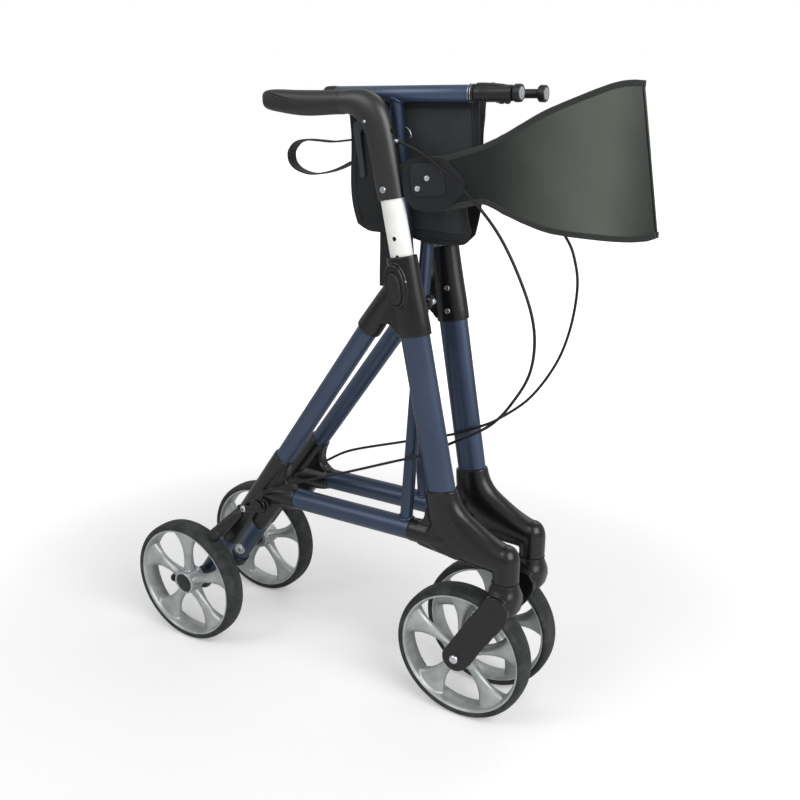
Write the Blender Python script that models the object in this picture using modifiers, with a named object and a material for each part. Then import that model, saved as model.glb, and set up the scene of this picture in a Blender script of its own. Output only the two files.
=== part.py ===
# Folding rollator, standing folded: two wheeled side frames, a scissor brace between them that carries the seat,
# and a backrest band between the handles. +X is forwards, +Y is left, +Z is up, and sizes are in metres.

import bpy
import bmesh
from math import asin, atan, atan2, cos, hypot, pi, radians, sin, sqrt, tan
from mathutils import Matrix, Vector

# Wheels
WHEEL_RADIUS = 0.100
TYRE_WIDTH = 0.034
TYRE_DEPTH = 0.0097
RIM_WIDTH = 0.030
RIM_WALL = 0.0050
SPOKE_COUNT = 5
HUB_RADIUS = 0.0170
REAR_WHEEL_OFFSET = 0.0494      # wheel middle outwards of its side frame
WHEELBASE = 0.4704
CASTER_TRAIL = 0.0610           # caster axle behind the kingpin

# Side frames
FRAME_HALF_GAP = 0.0441         # from the middle plane to a side frame, at rail height
FRAME_LEAN = 0.034              # outward run for each metre above the bend
BEND_HEIGHT = 0.288             # the side frames are upright below it
RAIL_HEIGHT = 0.267
RAIL_RADIUS = 0.0155
FRONT_TUBE_X = 0.446            # centre line at rail height
FRONT_TUBE_RAKE = 0.181         # rearward run for each metre of height
FRONT_TUBE_DEPTH = 0.042
FRONT_TUBE_WIDTH = 0.027
FRONT_TUBE_WALL = 0.0022
FRONT_TUBE_FOOT_Z = 0.2925
FRONT_TUBE_TOP_Z = 0.634
REAR_TUBE_RUN = 0.723           # forward run for each metre of height, through the rear axle
REAR_TUBE_RADIUS = 0.014
REAR_TUBE_WALL = 0.0020
REAR_TUBE_FOOT_Z = 0.077
REAR_TUBE_TOP_Z = 0.584
CASTING_WALL = 0.0026
KINGPIN_RADIUS = 0.0176
KINGPIN_FOOT_Z = 0.2262
STEM_RADIUS = 0.0060
SPIGOT_RADIUS = 0.0100
SPIGOT_LENGTH = 0.016

# Handles
TELESCOPE_DEPTH = 0.0330
TELESCOPE_WIDTH = 0.0216
TELESCOPE_WALL = 0.0020
TELESCOPE_FOOT_Z = 0.480
TELESCOPE_TOP_Z = 0.786
HOLE_PITCH = 0.0230
HOLE_RADIUS = 0.0030
HOUSING_FOOT_Z = 0.7195
GRIP_Z = 0.8345
GRIP_FRONT_X = 0.296
GRIP_REAR_X = 0.1762
GRIP_HALF_HEIGHT = 0.0150
GRIP_HALF_WIDTH = 0.0165
CORE_RADIUS = 0.0085
LEVER_THICKNESS = 0.0080
BUTTON_DEPTH = 0.0200
BUTTON_HEIGHT = 0.0420
BUTTON_Z = 0.6115
BUTTON_TRAVEL = 0.0036

# Cross brace and seat
PIVOT_HEIGHT = 0.583
LEG_RADIUS = 0.0090
LEG_WALL = 0.0015
NEAR_LEG_X = 0.3762             # runs from the near rail to the far seat tube
FAR_LEG_X = 0.3568              # runs from the far rail to the near seat tube
SEAT_TUBE_HEIGHT = 0.844
SEAT_TUBE_RADIUS = 0.0098
SEAT_TUBE_REAR_X = 0.2700
SEAT_TUBE_FRONT_X = 0.4580
PLUG_TIP_X = 0.5238
SEAT_REAR_X = 0.2790
SEAT_FRONT_X = 0.4640
SEAT_DROP = 0.1740
SEAT_THICKNESS = 0.0014

# Backrest band
BAND_HINGE_X = 0.3860
BAND_THICKNESS = 0.0036
BAND_TIP_GAP = 0.0003
FOLD_X = 0.6585                 # the fold's top end
FOLD_Z = 0.8545
FOLD_RAKE = 0.129

CABLE_RADIUS = 0.0024
CLEARANCE = 0.0003
ROUND = 16
WHEEL_STEPS = 36

# Worked out from the sizes above
RIM_RADIUS = WHEEL_RADIUS - TYRE_DEPTH
KINGPIN_X = WHEELBASE + CASTER_TRAIL
BRACE_TILT = FRAME_HALF_GAP / (PIVOT_HEIGHT - RAIL_HEIGHT)
SEAT_TUBE_HALF_GAP = BRACE_TILT * (SEAT_TUBE_HEIGHT - PIVOT_HEIGHT)
SIDES = {"near": -1, "far": 1}

for old in list(bpy.data.objects):
    bpy.data.objects.remove(old)
rollator = bpy.data.collections.new("rollator")
bpy.context.scene.collection.children.link(rollator)
made = []


# Meshes from simple shapes. A side frame's pieces are drawn in its own plane as (x, v, z), v outwards.

def piece_of(mesh):
    piece = bpy.data.objects.new("piece", mesh)
    rollator.objects.link(piece)
    return piece


def piece_from(bm):
    bmesh.ops.recalc_face_normals(bm, faces=bm.faces)
    mesh = bpy.data.meshes.new("piece")
    bm.to_mesh(mesh)
    bm.free()
    return piece_of(mesh)


def applied(piece):
    bpy.context.view_layer.update()
    graph = bpy.context.evaluated_depsgraph_get()
    mesh = bpy.data.meshes.new_from_object(piece.evaluated_get(graph))
    mesh.transform(piece.matrix_world)
    bpy.data.objects.remove(piece)
    bm = bmesh.new()
    bm.from_mesh(mesh)
    bmesh.ops.remove_doubles(bm, verts=bm.verts, dist=0.000005)
    bpy.data.meshes.remove(mesh)
    return piece_from(bm)


def combined(first, second, operation):
    modifier = first.modifiers.new("combine", "BOOLEAN")
    modifier.operation = operation
    modifier.object = second
    bpy.context.view_layer.update()
    graph = bpy.context.evaluated_depsgraph_get()
    mesh = bpy.data.meshes.new_from_object(first.evaluated_get(graph))
    bpy.data.objects.remove(first)
    bpy.data.objects.remove(second)
    return piece_of(mesh)


def joined(first, *others):
    for other in others:
        first = combined(first, other, "UNION")
    return first


def cut(first, *cutters):
    for cutter in cutters:
        first = combined(first, cutter, "DIFFERENCE")
    return first


def loft(rings, closed=False):
    bm = bmesh.new()
    loops = [[bm.verts.new(point) for point in ring] for ring in rings]
    pairs = list(zip(loops, loops[1:]))
    if closed:
        pairs.append((loops[-1], loops[0]))
    for first, second in pairs:
        for i in range(len(first)):
            j = (i + 1) % len(first)
            bm.faces.new((first[i], first[j], second[j], second[i]))
    if not closed:
        bm.faces.new(list(reversed(loops[0])))
        bm.faces.new(loops[-1])
    return piece_from(bm)


def oval(centre, depth_way, width_way, half_depth, half_width, count=ROUND, squareness=2.0):
    points = []
    for i in range(count):
        turn = 2 * pi * (i + 0.5) / count
        c, s = cos(turn), sin(turn)
        across = half_depth * (1 if c > 0 else -1) * abs(c) ** (2 / squareness)
        along = half_width * (1 if s > 0 else -1) * abs(s) ** (2 / squareness)
        points.append(Vector(centre) + depth_way * across + width_way * along)
    return points


def oval_bar(foot, top, depth_way, width_way, half_depth, half_width, count=ROUND, squareness=2.0):
    ends = [oval(end, depth_way, width_way, half_depth, half_width, count, squareness) for end in (foot, top)]
    return loft(ends)


def oval_pipe(foot, top, depth_way, width_way, half_depth, half_width, wall, count=ROUND, squareness=2.0):
    outer = [oval(end, depth_way, width_way, half_depth, half_width, count, squareness) for end in (foot, top)]
    inner = [oval(end, depth_way, width_way, half_depth - wall, half_width - wall, count, squareness)
             for end in (top, foot)]
    return loft(outer + inner, closed=True)


def ways_of(axis):
    axis = Vector(axis).normalized()
    helper = Vector((0, 1, 0)) if abs(axis.y) < 0.9 else Vector((1, 0, 0))
    first = helper.cross(axis).normalized()
    return first, axis.cross(first).normalized()


def bar(foot, top, radius, top_radius=None, count=ROUND):
    first, second = ways_of(Vector(top) - Vector(foot))
    top_radius = radius if top_radius is None else top_radius
    return loft([oval(foot, first, second, radius, radius, count), oval(top, first, second, top_radius, top_radius, count)])


def pipe(foot, top, radius, wall, count=ROUND):
    first, second = ways_of(Vector(top) - Vector(foot))
    return oval_pipe(foot, top, first, second, radius, radius, wall, count)


def turned(profile, centre, axis, ring=False, steps=ROUND):
    """A profile of (radius, place along the axis) points, turned about the axis through centre."""
    bm = bmesh.new()
    verts = [bm.verts.new((radius, 0, along)) for radius, along in profile]
    for first, second in zip(verts, verts[1:]):
        bm.edges.new((first, second))
    if ring:
        bm.edges.new((verts[-1], verts[0]))
    mesh = bpy.data.meshes.new("profile")
    bm.to_mesh(mesh)
    bm.free()
    piece = piece_of(mesh)
    screw = piece.modifiers.new("turn", "SCREW")
    screw.steps = steps
    screw.render_steps = steps
    screw.use_merge_vertices = True
    screw.merge_threshold = 0.00001
    piece.matrix_world = Matrix.Translation(centre) @ Vector((0, 0, 1)).rotation_difference(Vector(axis)).to_matrix().to_4x4()
    return applied(piece)


def plate(outline, thickness, v=0.0):
    """A flat outline of (x, z) points, thickness wide across the frame about v."""
    curve = bpy.data.curves.new("outline", "CURVE")
    curve.dimensions = "2D"
    curve.fill_mode = "BOTH"
    curve.extrude = thickness / 2
    spline = curve.splines.new("POLY")
    spline.points.add(len(outline) - 1)
    for point, (x, z) in zip(spline.points, outline):
        point.co = (x, z, 0, 1)
    spline.use_cyclic_u = True
    piece = bpy.data.objects.new("outline", curve)
    rollator.objects.link(piece)
    piece.matrix_world = Matrix.Translation((0, v, 0)) @ Matrix.Rotation(pi / 2, 4, "X")
    return applied(piece)


def arc(x, z, radius, start, end, count):
    turns = [radians(start + (end - start) * i / (count - 1)) for i in range(count)]
    return [(x + radius * cos(turn), z + radius * sin(turn)) for turn in turns]


def smooth(points, steps):
    """Points on a smooth curve through the given ones."""
    ends = [2 * points[0] - points[1]] + points + [2 * points[-1] - points[-2]]
    found = []
    for a, b, c, d in zip(ends, ends[1:], ends[2:], ends[3:]):
        for i in range(steps):
            t = i / steps
            found.append(0.5 * (2 * b + (c - a) * t + (2 * a - 5 * b + 4 * c - d) * t ** 2
                                + (3 * b - a - 3 * c + d) * t ** 3))
    return found + [points[-1]]


def wire(points, radius, resolution=2):
    curve = bpy.data.curves.new("wire", "CURVE")
    curve.dimensions = "3D"
    curve.bevel_depth = radius
    curve.bevel_resolution = resolution
    curve.use_fill_caps = True
    spline = curve.splines.new("POLY")
    spline.points.add(len(points) - 1)
    for place, point in zip(spline.points, points):
        place.co = (*point, 1)
    piece = bpy.data.objects.new("wire", curve)
    rollator.objects.link(piece)
    return applied(piece)


X_WAY = Vector((1, 0, 0))
Y_WAY = Vector((0, 1, 0))
Z_WAY = Vector((0, 0, 1))
FRONT_WAY = Vector((-FRONT_TUBE_RAKE, 0, 1)).normalized()
FRONT_DEPTH_WAY = Vector((1, 0, FRONT_TUBE_RAKE)).normalized()
REAR_WAY = Vector((REAR_TUBE_RUN, 0, 1)).normalized()
REAR_DEPTH_WAY = Vector((1, 0, -REAR_TUBE_RUN)).normalized()


def front_point(z, depth=0.0, v=0.0):
    base = Vector((FRONT_TUBE_X - FRONT_TUBE_RAKE * (z - RAIL_HEIGHT), v, z))
    return base + FRONT_DEPTH_WAY * depth


def rear_point(z, depth=0.0, v=0.0):
    return Vector((REAR_TUBE_RUN * (z - WHEEL_RADIUS), v, z)) + REAR_DEPTH_WAY * depth


def frame_y(side, v, z):
    return side * (FRAME_HALF_GAP + v + FRAME_LEAN * max(0.0, z - BEND_HEIGHT))


def on_frame(piece, side):
    """Sets a piece drawn in a side frame's plane on that side; the near side is the mirror of the far one."""
    mesh = piece.data
    for vertex in mesh.vertices:
        vertex.co.y = frame_y(side, vertex.co.y, vertex.co.z)
    if side < 0:
        mesh.flip_normals()
    return piece


def brace_y(side, z):
    """Centre line of the leg whose foot is on the rail of the given side."""
    return side * BRACE_TILT * (PIVOT_HEIGHT - z)


def finish(piece, name, look, origin=(0, 0, 0), crease=35):
    colour, roughness, metallic = look
    paint = bpy.data.materials.new(name + "_finish")
    paint.use_nodes = True
    shader = paint.node_tree.nodes["Principled BSDF"]
    shader.inputs["Base Color"].default_value = (*colour, 1)
    shader.inputs["Roughness"].default_value = roughness
    shader.inputs["Metallic"].default_value = metallic
    piece.name = name
    piece.data.name = name
    piece.data.materials.clear()
    piece.data.materials.append(paint)
    piece.data.transform(Matrix.Translation(-Vector(origin)))
    piece.location = origin
    piece.data.shade_smooth()
    piece.data.set_sharp_from_angle(angle=radians(crease))
    made.append(piece)
    return piece


FRAME_BLUE = ((0.045, 0.085, 0.155), 0.38, 0.75)
BLACK_PLASTIC = ((0.018, 0.019, 0.021), 0.55, 0.0)
SOFT_BLACK = ((0.016, 0.016, 0.017), 0.75, 0.0)
TYRE_BLACK = ((0.020, 0.020, 0.021), 0.85, 0.0)
RIM_SILVER = ((0.38, 0.40, 0.40), 0.42, 0.35)
STEEL = ((0.60, 0.61, 0.62), 0.25, 1.0)
PALE_TUBE = ((0.80, 0.81, 0.80), 0.45, 0.3)
BAND_GREY = ((0.055, 0.062, 0.060), 0.85, 0.0)
SEAT_BLACK = ((0.022, 0.023, 0.026), 0.85, 0.0)


# Wheels

def tyre(centre):
    half = TYRE_WIDTH / 2
    inner = RIM_RADIUS + CLEARANCE
    right = [(inner, half - 0.0006), (WHEEL_RADIUS - 0.0042, half), (WHEEL_RADIUS, half - 0.0075)]
    profile = right + [(radius, -along) for radius, along in reversed(right)]
    return turned(profile, centre, Y_WAY, ring=True, steps=WHEEL_STEPS)


def spoke(turn, half_hub, half_mouth):
    """One flared spoke, from inside the hub to inside the rim's ring, about the wheel's middle."""
    outward = Vector((cos(turn), 0, sin(turn)))
    sideways = Vector((-sin(turn), 0, cos(turn)))
    stations = ((HUB_RADIUS - 0.004, half_hub, 0.0085), (RIM_RADIUS * 0.62, half_hub * 1.25, 0.0068),
                (RIM_RADIUS - RIM_WALL + 0.0015, half_mouth, 0.0100))
    return loft([oval(outward * radius, sideways, Y_WAY, half_along, half_across, 6, 2.6)
                 for radius, half_along, half_across in stations])


def rim(centre, hub_half, bore, cap_bore=None):
    half = RIM_WIDTH / 2
    inner = RIM_RADIUS - RIM_WALL
    ring = turned([(inner, -half), (RIM_RADIUS, -half), (RIM_RADIUS, half), (inner, half)], (0, 0, 0), Y_WAY,
                  ring=True, steps=WHEEL_STEPS)
    hub = turned([(0, hub_half), (HUB_RADIUS, hub_half), (HUB_RADIUS, -hub_half), (0, -hub_half)], (0, 0, 0), Y_WAY,
                 steps=12)
    spokes = [spoke(radians(90 + 360 * i / SPOKE_COUNT), 0.0070, 0.0245) for i in range(SPOKE_COUNT)]
    wheel = joined(ring, hub, *spokes)
    wheel = cut(wheel, bar((0, -hub_half - 0.01, 0), (0, hub_half + 0.01, 0), bore, count=14))
    if cap_bore:
        wheel = cut(wheel, bar((0, hub_half - 0.0070, 0), (0, hub_half + 0.01, 0), cap_bore, count=14))
    wheel.data.transform(Matrix.Translation(centre))
    return wheel


AXLE_RADIUS = 0.0050
CAP_RADIUS = 0.0125


def build_rear_wheel(label, side):
    centre = Vector((0, REAR_WHEEL_OFFSET, WHEEL_RADIUS))
    place = Vector((0, frame_y(side, REAR_WHEEL_OFFSET, WHEEL_RADIUS), WHEEL_RADIUS))
    hub_half = TYRE_WIDTH / 2 - 0.0010
    finish(on_frame(tyre(centre), side), label + "_rear_tyre", TYRE_BLACK, place)
    finish(on_frame(rim(centre, hub_half, AXLE_RADIUS + CLEARANCE, CAP_RADIUS), side), label + "_rear_rim",
           RIM_SILVER, place)
    rim_face = REAR_WHEEL_OFFSET + hub_half
    cap = turned([(0, rim_face - 0.0004), (CAP_RADIUS - 0.0020, rim_face - 0.0008),
                  (CAP_RADIUS - 0.0005, rim_face - 0.0020), (CAP_RADIUS - 0.0005, rim_face - 0.0035),
                  (0, rim_face - 0.0035)], (0, 0, WHEEL_RADIUS), Y_WAY, steps=12)
    finish(on_frame(cap, side), label + "_rear_hub_cap", SOFT_BLACK, place)
    collar_end = REAR_WHEEL_OFFSET - hub_half - CLEARANCE
    shaft_end = rim_face - 0.0070 + 0.0030
    leg_face = REAR_TUBE_RADIUS + CLEARANCE
    axle = turned([(0, shaft_end), (0.0080, shaft_end), (0.0080, rim_face - 0.0070 + CLEARANCE),
                   (AXLE_RADIUS, rim_face - 0.0070 + CLEARANCE), (AXLE_RADIUS, collar_end), (0.0100, collar_end),
                   (0.0100, leg_face), (AXLE_RADIUS, leg_face), (AXLE_RADIUS, -leg_face), (0.0085, -leg_face),
                   (0.0085, -leg_face - 0.0045), (0.0060, -leg_face - 0.0060), (0, -leg_face - 0.0060)],
                  (0, 0, WHEEL_RADIUS), Y_WAY, steps=12)
    finish(on_frame(axle, side), label + "_rear_axle", STEEL)


FORK_ARM = 0.0070
FORK_GAP = 0.0400               # between the inner faces of the arms
FORK_END_RADIUS = 0.0195


def build_caster(label, side):
    centre = Vector((WHEELBASE, 0, WHEEL_RADIUS))
    hub_half = FORK_GAP / 2 - 0.0020
    place = Vector((WHEELBASE, frame_y(side, 0, WHEEL_RADIUS), WHEEL_RADIUS))
    finish(on_frame(tyre(centre), side), label + "_front_tyre", TYRE_BLACK, place)
    finish(on_frame(rim(centre, hub_half, 0.0045 + CLEARANCE), side), label + "_front_rim", RIM_SILVER, place)
    arm_face = FORK_GAP / 2 + FORK_ARM
    head = [(0, arm_face + 0.0050), (0.0040, arm_face + 0.0045), (0.0068, arm_face + 0.0020),
            (0.0068, arm_face + CLEARANCE), (0.0045, arm_face + CLEARANCE)]
    bolt = turned(head + [(radius, -along) for radius, along in reversed(head)], (WHEELBASE, 0, WHEEL_RADIUS), Y_WAY,
                  steps=12)
    finish(on_frame(bolt, side), label + "_front_axle", STEEL)
    outer = FORK_GAP / 2 + FORK_ARM - 0.0012
    top = KINGPIN_FOOT_Z - CLEARANCE
    axle = Vector((WHEELBASE, 0, WHEEL_RADIUS))
    along = Vector((CASTER_TRAIL, 0, 0.0905)).normalized()
    over_wheel = axle + along * (WHEEL_RADIUS + 0.0050)
    crown = loft([oval(centre, Vector((cos(turn), 0, -sin(turn))), Y_WAY, half_depth, half_width, ROUND, squareness)
                  for centre, turn, half_depth, half_width, squareness in (
                      (Vector((KINGPIN_X, 0, top)), 0.0, KINGPIN_RADIUS - 0.0008, KINGPIN_RADIUS - 0.0008, 2.0),
                      (Vector((KINGPIN_X, 0, top - 0.0070)), 0.09, 0.0205, 0.0195, 2.2),
                      (Vector((KINGPIN_X + 0.0010, 0, top - 0.0160)), 0.24, 0.0235, 0.0235, 2.6),
                      (over_wheel + along * 0.0080, 0.49, 0.0250, outer, 3.2),
                      (over_wheel, atan2(along.x, along.z), 0.0250, outer, 3.4))])
    outline = (arc(WHEELBASE, WHEEL_RADIUS, FORK_END_RADIUS, 160, 322, 8)
               + [(WHEELBASE + dx, WHEEL_RADIUS + dz) for dx, dz in (
                   (0.0236, -0.0030), (0.0382, 0.0226), (0.0581, 0.0530), (0.0733, 0.0760), (0.0765, 0.0980),
                   (0.0600, 0.1120), (0.0441, 0.1080), (0.0331, 0.0890), (0.0186, 0.0680), (0.0056, 0.0460),
                   (-0.0084, 0.0230))])
    arms = []
    for way in (1, -1):
        arm = plate(outline, FORK_ARM, way * (FORK_GAP + FORK_ARM) / 2)
        arms.append(cut(arm, bar((WHEELBASE, -0.05, WHEEL_RADIUS), (WHEELBASE, 0.05, WHEEL_RADIUS),
                                 0.0045 + CLEARANCE, count=14)))
    stem = bar((KINGPIN_X, 0, top - 0.004), (KINGPIN_X, 0, KINGPIN_FOOT_Z + 0.022), STEM_RADIUS)
    kingpin = Vector((KINGPIN_X, frame_y(side, 0, KINGPIN_FOOT_Z), KINGPIN_FOOT_Z))
    finish(on_frame(joined(crown, *arms, stem), side), label + "_fork", BLACK_PLASTIC, kingpin)


# Side frames

def tube_ring(z, extra, count=ROUND):
    return oval(front_point(z), FRONT_DEPTH_WAY, Y_WAY, FRONT_TUBE_DEPTH / 2 + extra, FRONT_TUBE_WIDTH / 2 + extra,
                count)


def rear_ring(z, radius, count=ROUND):
    return oval(rear_point(z), REAR_DEPTH_WAY, Y_WAY, radius, radius, count)


def build_tubes(label, side):
    front = oval_pipe(front_point(FRONT_TUBE_FOOT_Z), front_point(FRONT_TUBE_TOP_Z), FRONT_DEPTH_WAY, Y_WAY,
                      FRONT_TUBE_DEPTH / 2, FRONT_TUBE_WIDTH / 2, FRONT_TUBE_WALL)
    finish(on_frame(front, side), label + "_front_tube", FRAME_BLUE)
    heights = (REAR_TUBE_FOOT_Z, BEND_HEIGHT, REAR_TUBE_TOP_Z)
    inner = REAR_TUBE_RADIUS - REAR_TUBE_WALL
    rear = loft([rear_ring(z, REAR_TUBE_RADIUS) for z in heights] + [rear_ring(z, inner) for z in heights[::-1]],
                closed=True)
    rear = cut(rear, bar((0, -0.03, WHEEL_RADIUS), (0, 0.03, WHEEL_RADIUS), AXLE_RADIUS + CLEARANCE, count=14))
    finish(on_frame(rear, side), label + "_rear_tube", FRAME_BLUE)


JUNCTION_TOP_Z = 0.6495
JUNCTION_FOOT_Z = 0.5480
JUNCTION_ARM_Z = 0.5480         # where the arm's mouth crosses the rear tube's centre line
BEZEL_FACE = 0.0205
POCKET_FLOOR = 0.0146


def button_bar(depth, height, inner, outer, count=12):
    centre = front_point(BUTTON_Z, depth=-0.0075)
    return loft([oval(centre + Y_WAY * v, FRONT_DEPTH_WAY, FRONT_WAY, depth / 2, height / 2, count, 2.3)
                 for v in (inner, outer)])


def build_junction(label, side):
    stations = ((JUNCTION_FOOT_Z, 0.0022, 0.0020), (JUNCTION_FOOT_Z + 0.010, 0.0026, 0.0026),
                (0.600, 0.0012, 0.0024), (JUNCTION_TOP_Z, 0.0006, 0.0012))
    sleeve = loft([oval(front_point(z), FRONT_DEPTH_WAY, Y_WAY, FRONT_TUBE_DEPTH / 2 + more_depth,
                        FRONT_TUBE_WIDTH / 2 + more_width) for z, more_depth, more_width in stations])
    arm_top = rear_point(JUNCTION_ARM_Z) + REAR_WAY * 0.066
    arm = bar(rear_point(JUNCTION_ARM_Z), arm_top, REAR_TUBE_RADIUS + CASTING_WALL, REAR_TUBE_RADIUS + 0.0010)
    web_x = rear_point(JUNCTION_ARM_Z).x
    web = plate([(web_x + 0.016, 0.552), (web_x + 0.024, 0.5595), (web_x + 0.033, 0.5625), (web_x + 0.041, 0.5595),
                 (web_x + 0.048, 0.552), (web_x + 0.060, 0.560), (web_x + 0.054, 0.615), (web_x + 0.020, 0.585)],
                0.0250)
    bezel = button_bar(BUTTON_DEPTH + 0.0070, BUTTON_HEIGHT + 0.0080, 0.0080, BEZEL_FACE)
    body = joined(sleeve, arm, web, bezel)
    tube_room = loft([tube_ring(z, CLEARANCE) for z in (JUNCTION_FOOT_Z - 0.02, FRONT_TUBE_TOP_Z + 0.0010)])
    lip = oval_bar(front_point(FRONT_TUBE_TOP_Z - 0.01), front_point(JUNCTION_TOP_Z + 0.02), FRONT_DEPTH_WAY, Y_WAY,
                   TELESCOPE_DEPTH / 2 + 0.0004, TELESCOPE_WIDTH / 2 + 0.0004)
    rear_room = loft([rear_ring(z, REAR_TUBE_RADIUS + CLEARANCE)
                      for z in (JUNCTION_ARM_Z - 0.02, REAR_TUBE_TOP_Z + 0.0010)])
    pocket = button_bar(BUTTON_DEPTH + 0.0008, BUTTON_HEIGHT + 0.0008, POCKET_FLOOR, BEZEL_FACE + 0.01)
    body = cut(body, tube_room, lip, rear_room, pocket)
    finish(on_frame(body, side), label + "_top_junction", BLACK_PLASTIC)
    button = button_bar(BUTTON_DEPTH, BUTTON_HEIGHT, POCKET_FLOOR + BUTTON_TRAVEL + CLEARANCE, BEZEL_FACE + 0.0016)
    place = front_point(BUTTON_Z)
    place.y = frame_y(side, BEZEL_FACE, BUTTON_Z)
    finish(on_frame(button, side), label + "_height_button", SOFT_BLACK, place)


def build_front_casting(label, side):
    # the limb runs down the front tube and bends forwards to the kingpin
    limb = loft([oval((x, 0, z), Vector((cos(turn), 0, sin(turn))), Y_WAY, half_depth, half_width, 12, 2.2)
                 for x, z, turn, half_depth, half_width in (
                     (0.4328, 0.3380, atan(FRONT_TUBE_RAKE), 0.0236, 0.0163),
                     (0.4360, 0.3200, 0.24, 0.0258, 0.0172),
                     (0.4430, 0.3000, 0.46, 0.0300, 0.0178),
                     (0.4550, 0.2840, 0.80, 0.0325, 0.0180),
                     (0.4720, 0.2720, 1.06, 0.0325, 0.0180),
                     (0.4920, 0.2650, 1.28, 0.0285, 0.0178),
                     (0.5120, 0.2610, 1.42, 0.0250, 0.0176),
                     (KINGPIN_X, 0.2580, pi / 2, 0.0225, 0.0172))])
    kingpin = turned([(0, 0.2820), (0.0060, 0.2810), (0.0115, 0.2762), (0.0158, 0.2680), (KINGPIN_RADIUS, 0.2570),
                      (KINGPIN_RADIUS, KINGPIN_FOOT_Z), (0, KINGPIN_FOOT_Z)], (KINGPIN_X, 0, 0), Z_WAY, steps=14)
    mouth = RAIL_FRONT_X + CLEARANCE
    socket = bar((mouth, 0, RAIL_HEIGHT), (0.447, 0, RAIL_HEIGHT), RAIL_RADIUS + 0.0010, RAIL_RADIUS + 0.0030)
    body = joined(limb, kingpin, socket)
    room = loft([tube_ring(z, CLEARANCE) for z in (FRONT_TUBE_FOOT_Z - CLEARANCE, 0.37)])
    spigot_room = bar((mouth - 0.01, 0, RAIL_HEIGHT), (RAIL_FRONT_X + SPIGOT_LENGTH + 0.001, 0, RAIL_HEIGHT),
                      SPIGOT_RADIUS + 0.0004)
    stem_room = bar((KINGPIN_X, 0, KINGPIN_FOOT_Z - 0.01), (KINGPIN_X, 0, KINGPIN_FOOT_Z + 0.024),
                    STEM_RADIUS + 0.0003)
    body = cut(body, room, spigot_room, stem_room)
    finish(on_frame(body, side), label + "_front_casting", BLACK_PLASTIC)


RAIL_REAR_X = 0.1880
RAIL_FRONT_X = 0.3855
BRAKE_PIVOT = (0.124, 0.247)
BRAKE_BOSS_FACE = 0.0190


def build_rear_casting(label, side):
    sleeve = loft([rear_ring(z, REAR_TUBE_RADIUS + CASTING_WALL) for z in (0.168, BEND_HEIGHT, 0.332)])
    mouth = RAIL_REAR_X - CLEARANCE
    socket = bar((0.128, 0, RAIL_HEIGHT), (mouth, 0, RAIL_HEIGHT), RAIL_RADIUS + 0.0010)
    web = plate([(0.170, 0.3260), (0.1800, 0.3240), (0.1930, 0.2980), (0.1880, 0.2835), (0.1860, 0.2510),
                 (0.1720, 0.2480), (0.1570, 0.2465), (0.1370, 0.2210), (0.1180, 0.1960), (0.1000, 0.2100)], 0.0240)
    boss = bar((BRAKE_PIVOT[0], 0.006, BRAKE_PIVOT[1]), (BRAKE_PIVOT[0], BRAKE_BOSS_FACE, BRAKE_PIVOT[1]), 0.0125)
    body = joined(sleeve, socket, web, boss)
    room = loft([rear_ring(z, REAR_TUBE_RADIUS + CLEARANCE) for z in (0.150, BEND_HEIGHT, 0.360)])
    spigot_room = bar((RAIL_REAR_X - SPIGOT_LENGTH - 0.001, 0, RAIL_HEIGHT), (mouth + 0.01, 0, RAIL_HEIGHT),
                      SPIGOT_RADIUS + 0.0004)
    body = cut(body, room, spigot_room)
    finish(on_frame(body, side), label + "_rear_casting", BLACK_PLASTIC)


def build_pedal(label, side):
    cap = bar(rear_point(REAR_TUBE_FOOT_Z - 0.0090), rear_point(REAR_TUBE_FOOT_Z + 0.0060),
              REAR_TUBE_RADIUS + CASTING_WALL)
    foot = rear_point(REAR_TUBE_FOOT_Z - 0.0040)
    bend = loft([oval((foot.x + dx, dv, foot.z + dz), Z_WAY, Y_WAY, half_height, half_width, 12, 2.6)
                 for dx, dz, dv, half_height, half_width in (
                     (-0.002, -0.001, 0.0, 0.0080, 0.0110), (-0.024, -0.006, 0.003, 0.0072, 0.0110),
                     (-0.046, -0.009, 0.006, 0.0075, 0.0120), (-0.058, -0.010, 0.007, 0.0070, 0.0110),
                     (-0.063, -0.010, 0.007, 0.0040, 0.0070))])
    body = joined(cap, bend)
    room = bar(rear_point(REAR_TUBE_FOOT_Z - CLEARANCE), rear_point(REAR_TUBE_FOOT_Z + 0.03),
               REAR_TUBE_RADIUS + CLEARANCE)
    finish(on_frame(cut(body, room), side), label + "_tipping_pedal", BLACK_PLASTIC)


def build_brake_arm(label, side):
    x, z = BRAKE_PIVOT
    inner = BRAKE_BOSS_FACE + CLEARANCE
    body = plate(arc(x, z, 0.0110, 200, -20, 7) + arc(0.097, 0.237, 0.0105, -30, -210, 7), 0.0060, inner + 0.0030)
    toward = Vector((0.53, 0, 0.848))
    pad = Vector((0, REAR_WHEEL_OFFSET - 0.002, WHEEL_RADIUS)) + toward * (WHEEL_RADIUS + 0.0098)
    root = Vector((0.0925, inner + 0.0050, 0.2330))
    way = (pad - root).normalized()
    first, second = ways_of(way)
    strut = loft([oval(root + way * along, first, second, radius, radius, 12)
                  for along, radius in ((-0.004, 0.0045), (0.002, 0.0070), ((pad - root).length + 0.006, 0.0074),
                                        ((pad - root).length + 0.0085, 0.0050))])
    stop = bar((x, inner - 0.0001, z), (x, inner + 0.0085, z), 0.0060, 0.0045, count=12)
    arm = joined(body, strut, stop)
    place = Vector((x, frame_y(side, inner, z), z))
    finish(on_frame(arm, side), label + "_brake_arm", BLACK_PLASTIC, place)


# Handles

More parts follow.
